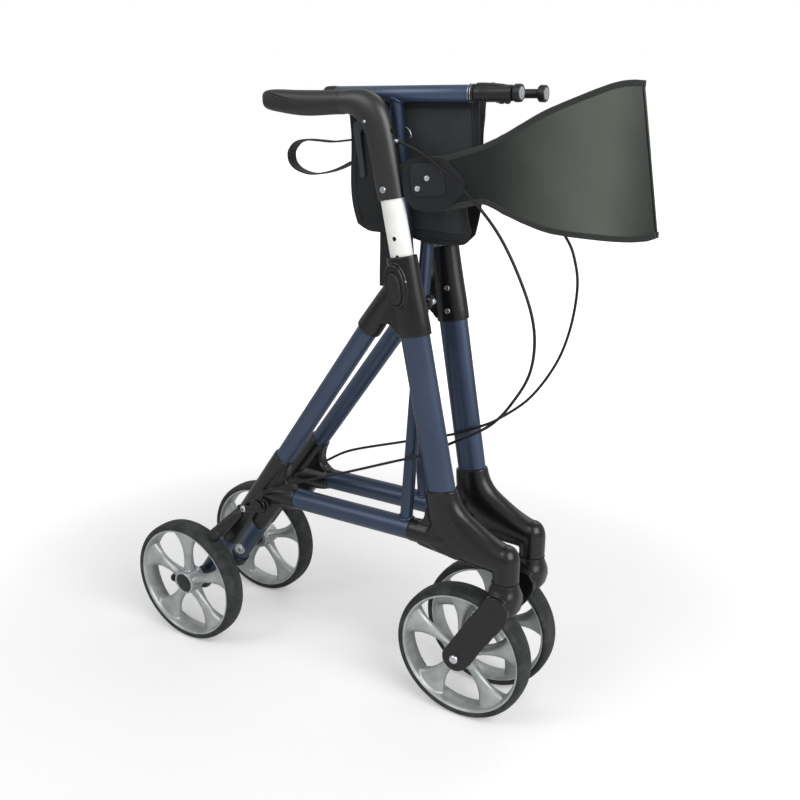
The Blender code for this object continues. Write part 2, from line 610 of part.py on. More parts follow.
def build_handle(label, side):
    slide = Vector((front_point(HOUSING_FOOT_Z).x, frame_y(side, 0, HOUSING_FOOT_Z), HOUSING_FOOT_Z))
    tube = oval_pipe(front_point(TELESCOPE_FOOT_Z), front_point(TELESCOPE_TOP_Z), FRONT_DEPTH_WAY, Y_WAY,
                     TELESCOPE_DEPTH / 2, TELESCOPE_WIDTH / 2, TELESCOPE_WALL)
    first_hole = 0.6490
    for i in range(-1, 2):
        z = first_hole + i * HOLE_PITCH
        tube = cut(tube, bar(front_point(z, v=0.005), front_point(z, v=0.03), HOLE_RADIUS, count=8))
    finish(on_frame(tube, side), label + "_telescopic_tube", PALE_TUBE, slide)

    bend = ((HOUSING_FOOT_Z, 0.0, 0.0184, 0.0126), (0.742, 0.0, 0.0190, 0.0134), (0.765, 0.0, 0.0196, 0.0145),
            (0.792, 0.0, 0.0198, 0.0150))
    rings = [oval(front_point(z), FRONT_DEPTH_WAY, Y_WAY, half_depth, half_width, 14, 2.2)
             for z, _, half_depth, half_width in bend]
    corner = ((0.3455, 0.8110, 0.36, 0.0202, 0.0155), (0.3375, 0.8235, 0.72, 0.0205, 0.0158),
              (0.3240, 0.8320, 1.12, 0.0185, 0.0158), (0.3080, 0.8350, 1.42, 0.0152, 0.0156),
              (GRIP_FRONT_X, GRIP_Z, pi / 2, 0.0145, 0.0154))
    rings += [oval((x, 0, z), Vector((cos(turn), 0, sin(turn))), Y_WAY, half_depth, half_width, 14, 2.2)
              for x, z, turn, half_depth, half_width in corner]
    shell = loft(rings)
    core = bar((GRIP_FRONT_X + 0.010, 0, GRIP_Z), (GRIP_REAR_X + 0.022, 0, GRIP_Z), CORE_RADIUS, count=16)
    housing = joined(shell, core)
    room = oval_bar(front_point(HOUSING_FOOT_Z - 0.02), front_point(TELESCOPE_TOP_Z + CLEARANCE), FRONT_DEPTH_WAY,
                    Y_WAY, TELESCOPE_DEPTH / 2 + CLEARANCE, TELESCOPE_WIDTH / 2 + CLEARANCE)
    pin_x, pin_z = LEVER_PIN
    slot = plate([(pin_x + 0.0095, pin_z + 0.0060), (pin_x - 0.0060, pin_z + 0.0085), (pin_x - 0.0300, pin_z + 0.0040),
                  (pin_x - 0.0300, pin_z - 0.0350), (pin_x + 0.0060, pin_z - 0.0350)], LEVER_THICKNESS + 0.0012)
    pin_room = bar((pin_x, -0.03, pin_z), (pin_x, 0.03, pin_z), 0.0023, count=10)
    housing = cut(housing, room, slot, pin_room)
    finish(on_frame(housing, side), label + "_handle_housing", SOFT_BLACK, slide)

    stations = ((GRIP_FRONT_X - CLEARANCE, 0.0, 0.0145, 0.0154), (0.282, -0.0002, 0.0146, 0.0157),
                (0.262, -0.0008, 0.0152, 0.0162), (0.242, -0.0010, 0.0156, GRIP_HALF_WIDTH),
                (0.222, -0.0002, 0.0152, GRIP_HALF_WIDTH), (0.202, 0.0018, 0.0140, 0.0162),
                (0.188, 0.0026, 0.0128, 0.0152), (0.180, 0.0030, 0.0106, 0.0128),
                (GRIP_REAR_X, 0.0032, 0.0058, 0.0070))
    grip = loft([oval((x, 0, GRIP_Z + rise), Z_WAY, Y_WAY, half_height, half_width, 14, 2.2)
                 for x, rise, half_height, half_width in stations])
    grip = cut(grip, bar((GRIP_FRONT_X + 0.01, 0, GRIP_Z), (GRIP_REAR_X + 0.021, 0, GRIP_Z),
                         CORE_RADIUS + CLEARANCE, count=16))
    finish(on_frame(grip, side), label + "_grip", SOFT_BLACK, slide)

    lever = plate(arc(pin_x, pin_z, 0.0062, 60, 170, 6)
                  + [(pin_x - 0.0105, pin_z - 0.0100), (pin_x - 0.0085, pin_z - 0.0250),
                     (pin_x - 0.0060, pin_z - 0.0450)]
                  + arc(pin_x - 0.0005, pin_z - 0.0640, 0.0035, 200, 340, 5)
                  + [(pin_x + 0.0018, pin_z - 0.0400), (pin_x + 0.0005, pin_z - 0.0220),
                     (pin_x + 0.0035, pin_z - 0.0060)], LEVER_THICKNESS)
    pin = bar((pin_x, -0.0145, pin_z), (pin_x, 0.0145, pin_z), 0.0020, count=12)
    place = Vector((pin_x, frame_y(side, 0, pin_z), pin_z))
    finish(on_frame(joined(lever, pin), side), label + "_brake_lever", BLACK_PLASTIC, place)

    face_x = front_point(0.745).x + 0.0190
    knuckle = bar((BAND_HINGE_X, 0, BAND_FOOT_Z), (BAND_HINGE_X, 0, BAND_FOOT_Z + 0.036), 0.0034, count=16)
    arm = plate([(front_point(0.762).x + 0.0202, 0.762), (BAND_HINGE_X, 0.762), (BAND_HINGE_X, 0.732),
                 (front_point(0.732).x + 0.0198, 0.732), (face_x + 0.0010, 0.745)], 0.0042)
    finish(on_frame(joined(knuckle, arm), side), label + "_backrest_bracket", BLACK_PLASTIC, slide)


LEVER_PIN = (0.3275, 0.8120)
BAND_FOOT_Z = 0.7290

# Share of the way from hinge to fold, lower edge and upper edge of the backrest band
BAND_EDGES = ((0.0133, 0.7240, 0.7580), (0.035, 0.7120, 0.7660), (0.070, 0.7080, 0.7710), (0.120, 0.7080, 0.7720),
              (0.170, 0.7095, 0.7725), (0.250, 0.7140, 0.7790), (0.335, 0.7185, 0.7860), (0.375, 0.7150, 0.7910),
              (0.420, 0.7080, 0.7970), (0.500, 0.6980, 0.8090), (0.590, 0.6890, 0.8225), (0.670, 0.6855, 0.8320),
              (0.750, 0.6835, 0.8405), (0.830, 0.6820, 0.8485), (0.910, 0.6820, 0.8550), (0.970, 0.6840, 0.8570),
              (1.000, 0.6870, 0.8545))


def fold_x(z):
    """Where the fold in the middle plane lies at a height."""
    return FOLD_X + FOLD_RAKE * (FOLD_Z - z)


def build_band(label, side):
    """Half of the backrest, from the bracket's knuckle out to the fold in the middle plane."""
    hinge_y = frame_y(1, 0, BAND_FOOT_Z + 0.018)
    half = BAND_THICKNESS / 2
    tip_y = BAND_TIP_GAP + half
    rings = []
    steps = 4
    for share, low, high in BAND_EDGES:
        outer = []
        inner = []
        for i in range(steps + 1):
            z = low + (high - low) * i / steps
            reach = Vector((fold_x(z) - BAND_HINGE_X, tip_y - hinge_y, 0))
            across = Vector((-reach.y, reach.x, 0)).normalized()
            middle = Vector((BAND_HINGE_X, hinge_y, z)) + reach * share + across * 0.0040 * sin(pi * share)
            outer.append(middle + across * half)
            inner.append(middle - across * half)
        rings.append(outer + inner[::-1])
    band = loft(rings)
    if side < 0:
        band.data.transform(Matrix.Scale(-1, 4, Y_WAY))
        band.data.flip_normals()
    place = Vector((BAND_HINGE_X, side * hinge_y, BAND_FOOT_Z))
    finish(band, label + "_backrest_half", BAND_GREY, place)


# Cables, from the handle's housing forwards, back between the frames and down to the brake arm

NEAR_CABLE = ((0.3726, -0.0612, 0.7895), (0.388, -0.063, 0.785), (0.414, -0.065, 0.774), (0.461, -0.065, 0.741),
              (0.511, -0.064, 0.690), (0.546, -0.064, 0.630), (0.563, -0.063, 0.578), (0.560, -0.060, 0.528),
              (0.539, -0.056, 0.486), (0.503, -0.047, 0.443), (0.441, -0.0315, 0.402), (0.412, -0.031, 0.386),
              (0.388, -0.043, 0.374), (0.366, -0.045, 0.366), (0.281, -0.055, 0.333), (0.202, -0.0665, 0.304),
              (0.153, -0.0695, 0.281), (0.1345, -0.0705, 0.268))
FAR_CABLE = ((0.3726, 0.0612, 0.7895), (0.388, 0.063, 0.785), (0.414, 0.066, 0.774), (0.461, 0.068, 0.745),
             (0.508, 0.068, 0.712), (0.547, 0.068, 0.670), (0.561, 0.068, 0.640), (0.566, 0.068, 0.604),
             (0.560, 0.066, 0.551), (0.544, 0.062, 0.502), (0.513, 0.054, 0.453), (0.474, 0.042, 0.420),
             (0.446, 0.0325, 0.405), (0.408, 0.031, 0.388), (0.380, 0.037, 0.378), (0.354, 0.046, 0.368),
             (0.321, 0.048, 0.355), (0.216, 0.0605, 0.316), (0.162, 0.0690, 0.285), (0.1345, 0.0705, 0.268))


def build_cable(label, route):
    points = smooth([Vector(point) for point in route], 2)
    finish(wire(points, CABLE_RADIUS), label + "_brake_cable", SOFT_BLACK)


# Cross brace. A brace half is a rail, the leg on it and the seat tube at the other side.

def build_brace(label, side, leg_x):
    rail_y = side * FRAME_HALF_GAP
    seat_y = -side * SEAT_TUBE_HALF_GAP
    rail = turned([(0, SPIGOT_LENGTH + RAIL_FRONT_X), (SPIGOT_RADIUS, SPIGOT_LENGTH + RAIL_FRONT_X),
                   (SPIGOT_RADIUS, RAIL_FRONT_X), (RAIL_RADIUS, RAIL_FRONT_X), (RAIL_RADIUS, RAIL_REAR_X),
                   (SPIGOT_RADIUS, RAIL_REAR_X), (SPIGOT_RADIUS, RAIL_REAR_X - SPIGOT_LENGTH),
                   (0, RAIL_REAR_X - SPIGOT_LENGTH)], (0, rail_y, RAIL_HEIGHT), X_WAY)
    leg_way = Vector((0, brace_y(side, 1) - brace_y(side, 0), 1)).normalized()
    foot = Vector((leg_x, rail_y, RAIL_HEIGHT)) + leg_way * 0.0100
    head = Vector((leg_x, seat_y, SEAT_TUBE_HEIGHT)) - leg_way * 0.0040
    leg = pipe(foot, head, LEG_RADIUS, LEG_WALL, 12)
    hole = bar((leg_x - 0.03, 0, PIVOT_HEIGHT), (leg_x + 0.03, 0, PIVOT_HEIGHT), PIVOT_BOLT_RADIUS + CLEARANCE, count=12)
    rail_room = bar((leg_x - 0.03, rail_y, RAIL_HEIGHT), (leg_x + 0.03, rail_y, RAIL_HEIGHT), RAIL_RADIUS + CLEARANCE,
                    count=24)
    seat_room = bar((leg_x - 0.03, seat_y, SEAT_TUBE_HEIGHT), (leg_x + 0.03, seat_y, SEAT_TUBE_HEIGHT),
                    SEAT_TUBE_RADIUS + CLEARANCE)
    leg = cut(leg, hole, rail_room, seat_room)
    other = "far" if label == "near" else "near"
    finish(rail, label + "_rail", FRAME_BLUE, (RAIL_REAR_X, rail_y, RAIL_HEIGHT))
    finish(leg, label + "_leg", FRAME_BLUE, (leg_x, rail_y, RAIL_HEIGHT))
    tube = pipe((SEAT_TUBE_REAR_X, seat_y, SEAT_TUBE_HEIGHT), (SEAT_TUBE_FRONT_X, seat_y, SEAT_TUBE_HEIGHT),
                SEAT_TUBE_RADIUS, 0.0018)
    finish(tube, other + "_seat_tube", FRAME_BLUE, (leg_x, seat_y, SEAT_TUBE_HEIGHT))
    plug = turned([(0, PLUG_TIP_X), (0.0085, PLUG_TIP_X), (0.0100, PLUG_TIP_X - 0.0015), (0.0100, PLUG_TIP_X - 0.0080),
                   (0.0085, PLUG_TIP_X - 0.0098), (PLUG_NECK_RADIUS, PLUG_TIP_X - 0.0102),
                   (PLUG_NECK_RADIUS, SEAT_TUBE_FRONT_X + 0.0070), (0.0106, SEAT_TUBE_FRONT_X + 0.0065),
                   (0.0106, SEAT_TUBE_FRONT_X + CLEARANCE), (0.0077, SEAT_TUBE_FRONT_X + CLEARANCE),
                   (0.0077, SEAT_TUBE_FRONT_X - 0.0200), (0, SEAT_TUBE_FRONT_X - 0.0200)],
                  (0, seat_y, SEAT_TUBE_HEIGHT), X_WAY, steps=12)
    finish(plug, other + "_seat_plug", BLACK_PLASTIC, (SEAT_TUBE_FRONT_X, seat_y, SEAT_TUBE_HEIGHT))


PIVOT_BOLT_RADIUS = 0.0040
PLUG_NECK_RADIUS = 0.0055


def build_pivot_bolt():
    front = NEAR_LEG_X + LEG_RADIUS
    rear = FAR_LEG_X - LEG_RADIUS
    bolt = turned([(0, front + 0.0110), (0.0045, front + 0.0105), (0.0048, front + 0.0080), (0.0085, front + 0.0078),
                   (0.0090, front + 0.0060), (0.0090, front + CLEARANCE), (PIVOT_BOLT_RADIUS, front + CLEARANCE),
                   (PIVOT_BOLT_RADIUS, rear - CLEARANCE), (0.0070, rear - CLEARANCE), (0.0070, rear - 0.0050),
                   (0, rear - 0.0050)], (0, 0, PIVOT_HEIGHT), X_WAY, steps=12)
    finish(bolt, "brace_pivot_bolt", STEEL, (front, 0, PIVOT_HEIGHT))


def build_seat_latch():
    y = -SEAT_TUBE_HALF_GAP
    rear = SEAT_TUBE_FRONT_X + 0.0070 + CLEARANCE
    front = PLUG_TIP_X - 0.0102 - CLEARANCE
    body = turned([(0, front), (0.0091, front), (0.0091, rear), (0, rear)], (0, y, SEAT_TUBE_HEIGHT), X_WAY, steps=16)
    wedge = plate([(rear + 0.002, SEAT_TUBE_HEIGHT + 0.004), (front - 0.004, SEAT_TUBE_HEIGHT + 0.004),
                   (front - 0.004, SEAT_TUBE_HEIGHT + 0.0092), (rear + 0.012, SEAT_TUBE_HEIGHT + 0.0118),
                   (rear + 0.003, SEAT_TUBE_HEIGHT + 0.0112)], 0.0130, y)
    bumps = [bar((x, y - 0.004, SEAT_TUBE_HEIGHT - 0.0095), (x, y + 0.004, SEAT_TUBE_HEIGHT - 0.0095), 0.0028, count=8)
             for x in (front - 0.0145, front - 0.0070)]
    body = joined(body, wedge, *bumps)
    body = cut(body, bar((rear - 0.01, y, SEAT_TUBE_HEIGHT), (front + 0.01, y, SEAT_TUBE_HEIGHT),
                         PLUG_NECK_RADIUS + CLEARANCE, count=14))
    finish(body, "seat_latch", BLACK_PLASTIC, (rear, y, SEAT_TUBE_HEIGHT))


# Seat fabric: two halves that hang from the seat tubes between the legs and meet at the bottom of the U

def seat_middle(x, drop):
    """Distance of the far half's middle surface from the middle plane."""
    leg_side = SEAT_TUBE_HALF_GAP - LEG_RADIUS - 0.0007 - SEAT_THICKNESS / 2
    straight = leg_side - BRACE_TILT * drop
    low = max(0.0, drop / SEAT_DROP - 0.25) / 0.75
    bulge_room = 0.0
    for start, end in ((SEAT_REAR_X, FAR_LEG_X - LEG_RADIUS - 0.006), (NEAR_LEG_X + LEG_RADIUS + 0.006, SEAT_FRONT_X)):
        if start < x < end or x in (start, end):
            near_leg = (end - x) if start == SEAT_REAR_X else (x - start)
            bulge_room = min(1.0, near_leg / 0.030)
    swell = 0.0125 * sin(pi * min(1.0, low) ** 1.5) * (0.5 - 0.5 * cos(pi * bulge_room))
    crease = 0.0010 * sin(pi * drop / SEAT_DROP) * sin((x - SEAT_REAR_X) * 90) * (0.5 - 0.5 * cos(pi * bulge_room))
    return straight + swell + crease


def build_seat(label, side):
    columns = 12
    rows = 8
    half = SEAT_THICKNESS / 2
    rings = []
    for i in range(columns + 1):
        share = i / columns
        x = SEAT_REAR_X + (SEAT_FRONT_X - SEAT_REAR_X) * share
        rear_lift = 0.010 * max(0.0, 1 - share / 0.12) ** 2
        front_lift = 0.012 * max(0.0, 1 - (1 - share) / 0.10) ** 2
        bottom = SEAT_DROP - rear_lift - front_lift
        drops = [0.0085 + (bottom - 0.0085) * j / rows for j in range(rows + 1)]
        outer = [Vector((x, seat_middle(x, drop) + half, SEAT_TUBE_HEIGHT - drop)) for drop in drops]
        inner = [Vector((x, seat_middle(x, drop) - half, SEAT_TUBE_HEIGHT - drop)) for drop in reversed(drops)]
        rings.append(outer + inner)
    seat = loft(rings)
    if side < 0:
        seat.data.transform(Matrix.Scale(-1, 4, Y_WAY))
        seat.data.flip_normals()
    place = (SEAT_REAR_X, side * SEAT_TUBE_HALF_GAP, SEAT_TUBE_HEIGHT)
    finish(seat, label + "_seat_half", SEAT_BLACK, place)


def build_straps():
    width = 0.0180
    thickness = 0.0024
    root = SEAT_REAR_X - 0.0010
    route = [(root, 0.788), (0.262, 0.7862), (0.247, 0.7850), (0.226, 0.7862), (0.206, 0.7868), (0.190, 0.7835),
             (0.1795, 0.7740), (0.1772, 0.7660), (0.1800, 0.7560), (0.191, 0.7475), (0.212, 0.7425), (0.236, 0.7450),
             (0.258, 0.7510), (root, 0.7600)]
    points = [Vector((x, 0, z)) for x, z in route]
    outer = []
    inner = []
    for i, point in enumerate(points):
        way = points[min(i + 1, len(points) - 1)] - points[max(i - 1, 0)]
        normal = Vector((-way.z, 0, way.x)).normalized() * thickness / 2
        outer.append(((point + normal).x, (point + normal).z))
        inner.append(((point - normal).x, (point - normal).z))
    middle_y = -(SEAT_TUBE_HALF_GAP - LEG_RADIUS - 0.002 - BRACE_TILT * 0.070)
    loop = plate(outer + inner[::-1], width, middle_y)
    finish(loop, "lift_strap", SOFT_BLACK, (SEAT_REAR_X, middle_y, 0.775))
    strip = plate([(0.3060, 0.5950), (0.3380, 0.5950), (0.3380, 0.6695), (0.3085, 0.6695)], 0.0016, 0.0016)
    finish(strip, "seat_strip", SOFT_BLACK, (0.3060, 0, 0.6690))


for label, side in SIDES.items():
    build_rear_wheel(label, side)
    build_caster(label, side)
    build_tubes(label, side)
    build_junction(label, side)
    build_front_casting(label, side)
    build_rear_casting(label, side)
    build_pedal(label, side)
    build_brake_arm(label, side)
    build_handle(label, side)
    build_band(label, side)
    build_seat(label, side)
build_cable("near", NEAR_CABLE)
build_cable("far", FAR_CABLE)
build_brace("near", SIDES["near"], NEAR_LEG_X)
build_brace("far", SIDES["far"], FAR_LEG_X)
build_pivot_bolt()
build_seat_latch()
build_straps()

# The origin lies under the middle of the whole object
low_x = min((piece.matrix_world @ vertex.co).x for piece in made for vertex in piece.data.vertices)
high_x = max((piece.matrix_world @ vertex.co).x for piece in made for vertex in piece.data.vertices)
stand = bpy.data.objects.new("stand", None)
rollator.objects.link(stand)
stand.location.x = -(low_x + high_x) / 2
for piece in made:
    piece.parent = stand
print("nodes", len(made), "triangles", sum(len(p.vertices) - 2 for piece in made for p in piece.data.polygons))
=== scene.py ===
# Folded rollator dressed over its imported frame. X is forwards, Y to the left and Z up, all in metres.
import bpy
from math import atan, atan2, cos, hypot, pi, radians, sin, sqrt
from mathutils import Matrix, Vector


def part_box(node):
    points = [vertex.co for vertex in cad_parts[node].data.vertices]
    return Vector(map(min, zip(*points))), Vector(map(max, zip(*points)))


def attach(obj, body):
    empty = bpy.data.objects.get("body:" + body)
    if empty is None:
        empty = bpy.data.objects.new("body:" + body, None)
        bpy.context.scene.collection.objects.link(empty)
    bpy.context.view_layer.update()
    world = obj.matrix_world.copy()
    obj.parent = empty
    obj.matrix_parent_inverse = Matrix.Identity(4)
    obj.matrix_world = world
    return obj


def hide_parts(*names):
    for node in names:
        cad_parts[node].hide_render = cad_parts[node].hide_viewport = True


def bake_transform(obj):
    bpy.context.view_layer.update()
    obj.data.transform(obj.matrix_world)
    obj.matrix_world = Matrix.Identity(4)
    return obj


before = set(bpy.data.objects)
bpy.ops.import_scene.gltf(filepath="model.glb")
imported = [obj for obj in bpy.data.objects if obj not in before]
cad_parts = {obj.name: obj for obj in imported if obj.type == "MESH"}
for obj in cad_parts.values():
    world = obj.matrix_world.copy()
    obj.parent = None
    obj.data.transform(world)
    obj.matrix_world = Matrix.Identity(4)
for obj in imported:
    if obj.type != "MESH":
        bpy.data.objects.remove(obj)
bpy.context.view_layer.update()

scene = bpy.context.scene
scene.view_settings.view_transform = "Standard"
print("frame loaded")

# Places are drawn as (x, v, z): x forwards from the rear axle, v outwards from a side frame's own plane.
wheelLow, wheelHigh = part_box("near_rear_tyre")
rearX = (wheelLow.x + wheelHigh.x) / 2
chassis = {
    "halfGap": 0.0441,       # middle plane to a side frame, at rail height
    "lean": 0.034,           # outward run for each metre above the bend
    "bendZ": 0.288,
    "railZ": 0.267,
    "frontX": 0.446,
    "frontRake": 0.181,
    "rearRun": 0.723,
    "axleZ": 0.100,
    "wheelbase": 0.4704,
    "kingpinX": 0.5314,
    "pivotZ": 0.583,
    "seatTubeZ": 0.844,
}
braceTilt = chassis["halfGap"] / (chassis["pivotZ"] - chassis["railZ"])
seatTubeGap = braceTilt * (chassis["seatTubeZ"] - chassis["pivotZ"])
sides = {"near": -1, "far": 1}
xWay = Vector((1, 0, 0))
yWay = Vector((0, 1, 0))
zWay = Vector((0, 0, 1))
frontDepthWay = Vector((1, 0, chassis["frontRake"])).normalized()
frontWay = Vector((-chassis["frontRake"], 0, 1)).normalized()
rearDepthWay = Vector((1, 0, -chassis["rearRun"])).normalized()
rearWay = Vector((chassis["rearRun"], 0, 1)).normalized()


def frontPoint(z, depth=0.0, v=0.0):
    x = chassis["frontX"] - chassis["frontRake"] * (z - chassis["railZ"])
    return Vector((x, v, z)) + frontDepthWay * depth


def rearPoint(z, depth=0.0, v=0.0):
    return Vector((chassis["rearRun"] * (z - chassis["axleZ"]), v, z)) + rearDepthWay * depth


def frameY(side, v, z):
    return side * (chassis["halfGap"] + v + chassis["lean"] * max(0.0, z - chassis["bendZ"]))


# Modelling tools

def letGo():
    if bpy.context.object and bpy.context.object.mode != "OBJECT":
        bpy.ops.object.mode_set(mode="OBJECT")
    for other in list(bpy.context.selected_objects):
        other.select_set(False)


def pick(piece):
    letGo()
    piece.select_set(True)
    bpy.context.view_layer.objects.active = piece


def applyAll(piece):
    pick(piece)
    for modifier in list(piece.modifiers):
        bpy.ops.object.modifier_apply(modifier=modifier.name)
    return piece


def outward(piece):
    pick(piece)
    bpy.ops.object.mode_set(mode="EDIT")
    bpy.ops.mesh.select_all(action="SELECT")
    bpy.ops.mesh.remove_doubles(threshold=0.00001)
    bpy.ops.mesh.normals_make_consistent(inside=False)
    bpy.ops.object.mode_set(mode="OBJECT")
    return piece


def shaded(piece, angle=35):
    pick(piece)
    bpy.ops.object.shade_smooth_by_angle(angle=radians(angle))
    return piece


def merged(name, pieces):
    letGo()
    for piece in pieces:
        piece.select_set(True)
    bpy.context.view_layer.objects.active = pieces[0]
    if len(pieces) > 1:
        bpy.ops.object.join()
    pieces[0].name = name
    return pieces[0]


def section(centre, depthWay, widthWay, halfDepth, halfWidth, square=2.0):
    return (Vector(centre), Vector(depthWay), Vector(widthWay), halfDepth, halfWidth, square)


def barRings(y, z, rows):
    return [section((x, y, z), yWay, zWay, r, r) for x, r in rows]


def rearRings(rows):
    return [section(rearPoint(z), rearDepthWay, yWay, r, r) for z, r in rows]


def bentRings(stations):
    return [section((x, 0, z), (cos(turn), 0, sin(turn)), yWay, deep, wide, 2.2)
        for x, z, turn, deep, wide in stations]


def between(a, b, c, d, t):
    # a smooth curve from b to c, with a and d as their neighbours
    square = (2 * a - 5 * b + 4 * c - d) * t ** 2
    cube = (3 * b - a - 3 * c + d) * t ** 3
    return 0.5 * (2 * b + (c - a) * t + square + cube)


def eased(stations, steps):
    ends = [stations[0]] + list(stations) + [stations[-1]]
    found = []
    for a, b, c, d in zip(ends, ends[1:], ends[2:], ends[3:]):
        found += [tuple(between(*four, i / steps) for four in zip(a, b, c, d)) for i in range(steps)]
    return found + [stations[-1]]


def skin(name, sections, around=40, capped=True, looped=False):
    # rings stacked straight up, bridged, then each ring taken to its own section
    if looped:
        sections = list(sections) + [sections[0]]
    letGo()
    bpy.ops.mesh.primitive_circle_add(vertices=around, radius=1, location=(0, 0, 0))
    piece = bpy.context.object
    bpy.ops.object.mode_set(mode="EDIT")
    for level in range(1, len(sections)):
        bpy.ops.mesh.primitive_circle_add(vertices=around, radius=1, location=(0, 0, level))
    bpy.ops.mesh.select_all(action="SELECT")
    bpy.ops.mesh.bridge_edge_loops()
    if capped and not looped:
        bpy.ops.mesh.select_all(action="SELECT")
        bpy.ops.mesh.fill_holes(sides=0)
    bpy.ops.object.mode_set(mode="OBJECT")
    for vertex in piece.data.vertices:
        centre, depthWay, widthWay, halfDepth, halfWidth, square = sections[round(vertex.co.z)]
        turn = atan2(vertex.co.y, vertex.co.x)
        c, s = cos(turn), sin(turn)
        across = halfDepth * (1 if c > 0 else -1) * abs(c) ** (2 / square)
        along = halfWidth * (1 if s > 0 else -1) * abs(s) ** (2 / square)
        vertex.co = centre + depthWay * across + widthWay * along
    piece.name = name
    return outward(piece)


def waysOf(axis):
    axis = Vector(axis).normalized()
    helper = yWay if abs(axis.y) < 0.9 else xWay
    first = helper.cross(axis).normalized()
    return first, axis.cross(first).normalized()


def rod(name, foot, top, radius, soften=0.0006, around=32):
    # a round bar with softened ends
    foot, top = Vector(foot), Vector(top)
    way = (top - foot).normalized()
    first, second = waysOf(way)
    ends = [(foot, radius - soften), (foot + way * soften, radius), (top - way * soften, radius),
        (top, radius - soften)]
    return skin(name, [section(point, first, second, r, r) for point, r in ends], around)


def turned(name, profile, centre, axis, steps=64, closed=False):
    # a profile of (radius, along) points, drawn point by point and spun round the axis
    centre, axis = Vector(centre), Vector(axis).normalized()
    first, _ = waysOf(axis)
    points = [centre + first * radius + axis * along for radius, along in profile]
    letGo()
    bpy.ops.mesh.primitive_plane_add(size=0.001, location=(0, 0, 0))
    piece = bpy.context.object
    bpy.ops.object.mode_set(mode="EDIT")
    bpy.ops.mesh.select_all(action="SELECT")
    bpy.ops.mesh.merge(type="CENTER")
    bpy.ops.transform.translate(value=points[0])
    for here, there in zip(points, points[1:]):
        bpy.ops.mesh.extrude_region_move(TRANSFORM_OT_translate={"value": there - here})
    bpy.ops.mesh.select_all(action="SELECT")
    if closed:
        bpy.ops.object.mode_set(mode="OBJECT")
        last = len(piece.data.vertices) - 1
        for i, vertex in enumerate(piece.data.vertices):
            vertex.select = i in (0, last)
        bpy.ops.object.mode_set(mode="EDIT")
        bpy.ops.mesh.edge_face_add()
        bpy.ops.mesh.select_all(action="SELECT")
    bpy.ops.mesh.spin(steps=steps, angle=2 * pi, center=centre, axis=axis)
    bpy.ops.mesh.select_all(action="SELECT")
    bpy.ops.mesh.remove_doubles(threshold=0.00001)
    bpy.ops.object.mode_set(mode="OBJECT")
    piece.name = name
    return outward(piece)


def softEdge(piece, width, segments, angle):
    bevel = piece.modifiers.new("edge", "BEVEL")
    bevel.width = width
    bevel.segments = segments
    bevel.limit_method = "ANGLE"
    bevel.angle_limit = radians(angle)


def thicken(piece, thick):
    wall = piece.modifiers.new("wall", "SOLIDIFY")
    wall.thickness = thick
    wall.offset = 0


def slab(name, outline, thickness, v=0.0, edge=0.0008, segments=3):
    # a flat outline of (x, z) points given thickness across the frame, with rounded edges
    letGo()
    bpy.ops.mesh.primitive_circle_add(vertices=len(outline), radius=1, fill_type="NGON", location=(0, 0, 0))
    piece = bpy.context.object
    turns = sorted(piece.data.vertices, key=lambda vertex: atan2(vertex.co.y, vertex.co.x) % (2 * pi))
    for vertex, (x, z) in zip(turns, outline):
        vertex.co = (x, v - thickness / 2, z)
    bpy.ops.object.mode_set(mode="EDIT")
    bpy.ops.mesh.select_all(action="SELECT")
    bpy.ops.mesh.extrude_region_move(TRANSFORM_OT_translate={"value": (0, thickness, 0)})
    bpy.ops.object.mode_set(mode="OBJECT")
    piece.name = name
    outward(piece)
    if edge:
        softEdge(piece, edge, segments, 50)
        applyAll(piece)
    return piece


def tubeAlong(name, points, radius, resolution=5, cyclic=False):
    # a round cord along points
    curve = bpy.data.curves.new(name, "CURVE")
    curve.dimensions = "3D"
    curve.bevel_depth = radius
    curve.bevel_resolution = resolution
    curve.use_fill_caps = True
    spline = curve.splines.new("POLY")
    spline.points.add(len(points) - 1)
    for place, point in zip(spline.points, points):
        place.co = (*point, 1)
    spline.use_cyclic_u = cyclic
    piece = bpy.data.objects.new(name, curve)
    scene.collection.objects.link(piece)
    pick(piece)
    bpy.ops.object.convert(target="MESH")
    return outward(bpy.context.object)


def cast(name, pieces, grain=0.0010, rounds=4):
    # melts overlapping shapes into one moulding with soft fillets where they meet
    piece = merged(name, pieces)
    melt = piece.modifiers.new("melt", "REMESH")
    melt.mode = "VOXEL"
    melt.voxel_size = grain
    ease = piece.modifiers.new("ease", "SMOOTH")
    ease.factor = 0.5
    ease.iterations = rounds
    applyAll(piece)
    pick(piece)
    bpy.ops.object.shade_smooth()
    return piece


def carved(piece, cutter):
    hole = piece.modifiers.new("hole", "BOOLEAN")
    hole.operation = "DIFFERENCE"
    hole.solver = "EXACT"
    hole.object = cutter
    applyAll(piece)
    bpy.data.objects.remove(cutter)
    return piece


def smooth(points, steps):
    ends = [2 * points[0] - points[1]] + points + [2 * points[-1] - points[-2]]
    found = []
    for four in zip(ends, ends[1:], ends[2:], ends[3:]):
        found += [between(*four, i / steps) for i in range(steps)]
    return found + [points[-1]]


def arc(x, z, radius, start, end, count):
    turns = [radians(start + (end - start) * i / (count - 1)) for i in range(count)]
    return [(x + radius * cos(turn), z + radius * sin(turn)) for turn in turns]


def dress(piece, finish, body, stands=()):
    piece.data.materials.clear()
    piece.data.materials.append(finish.material)
    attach(piece, body)
    if stands:
        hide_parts(*stands)
    return piece


def twin(model):
    copy = model.copy()
    copy.data = model.data.copy()
    scene.collection.objects.link(copy)
    return copy


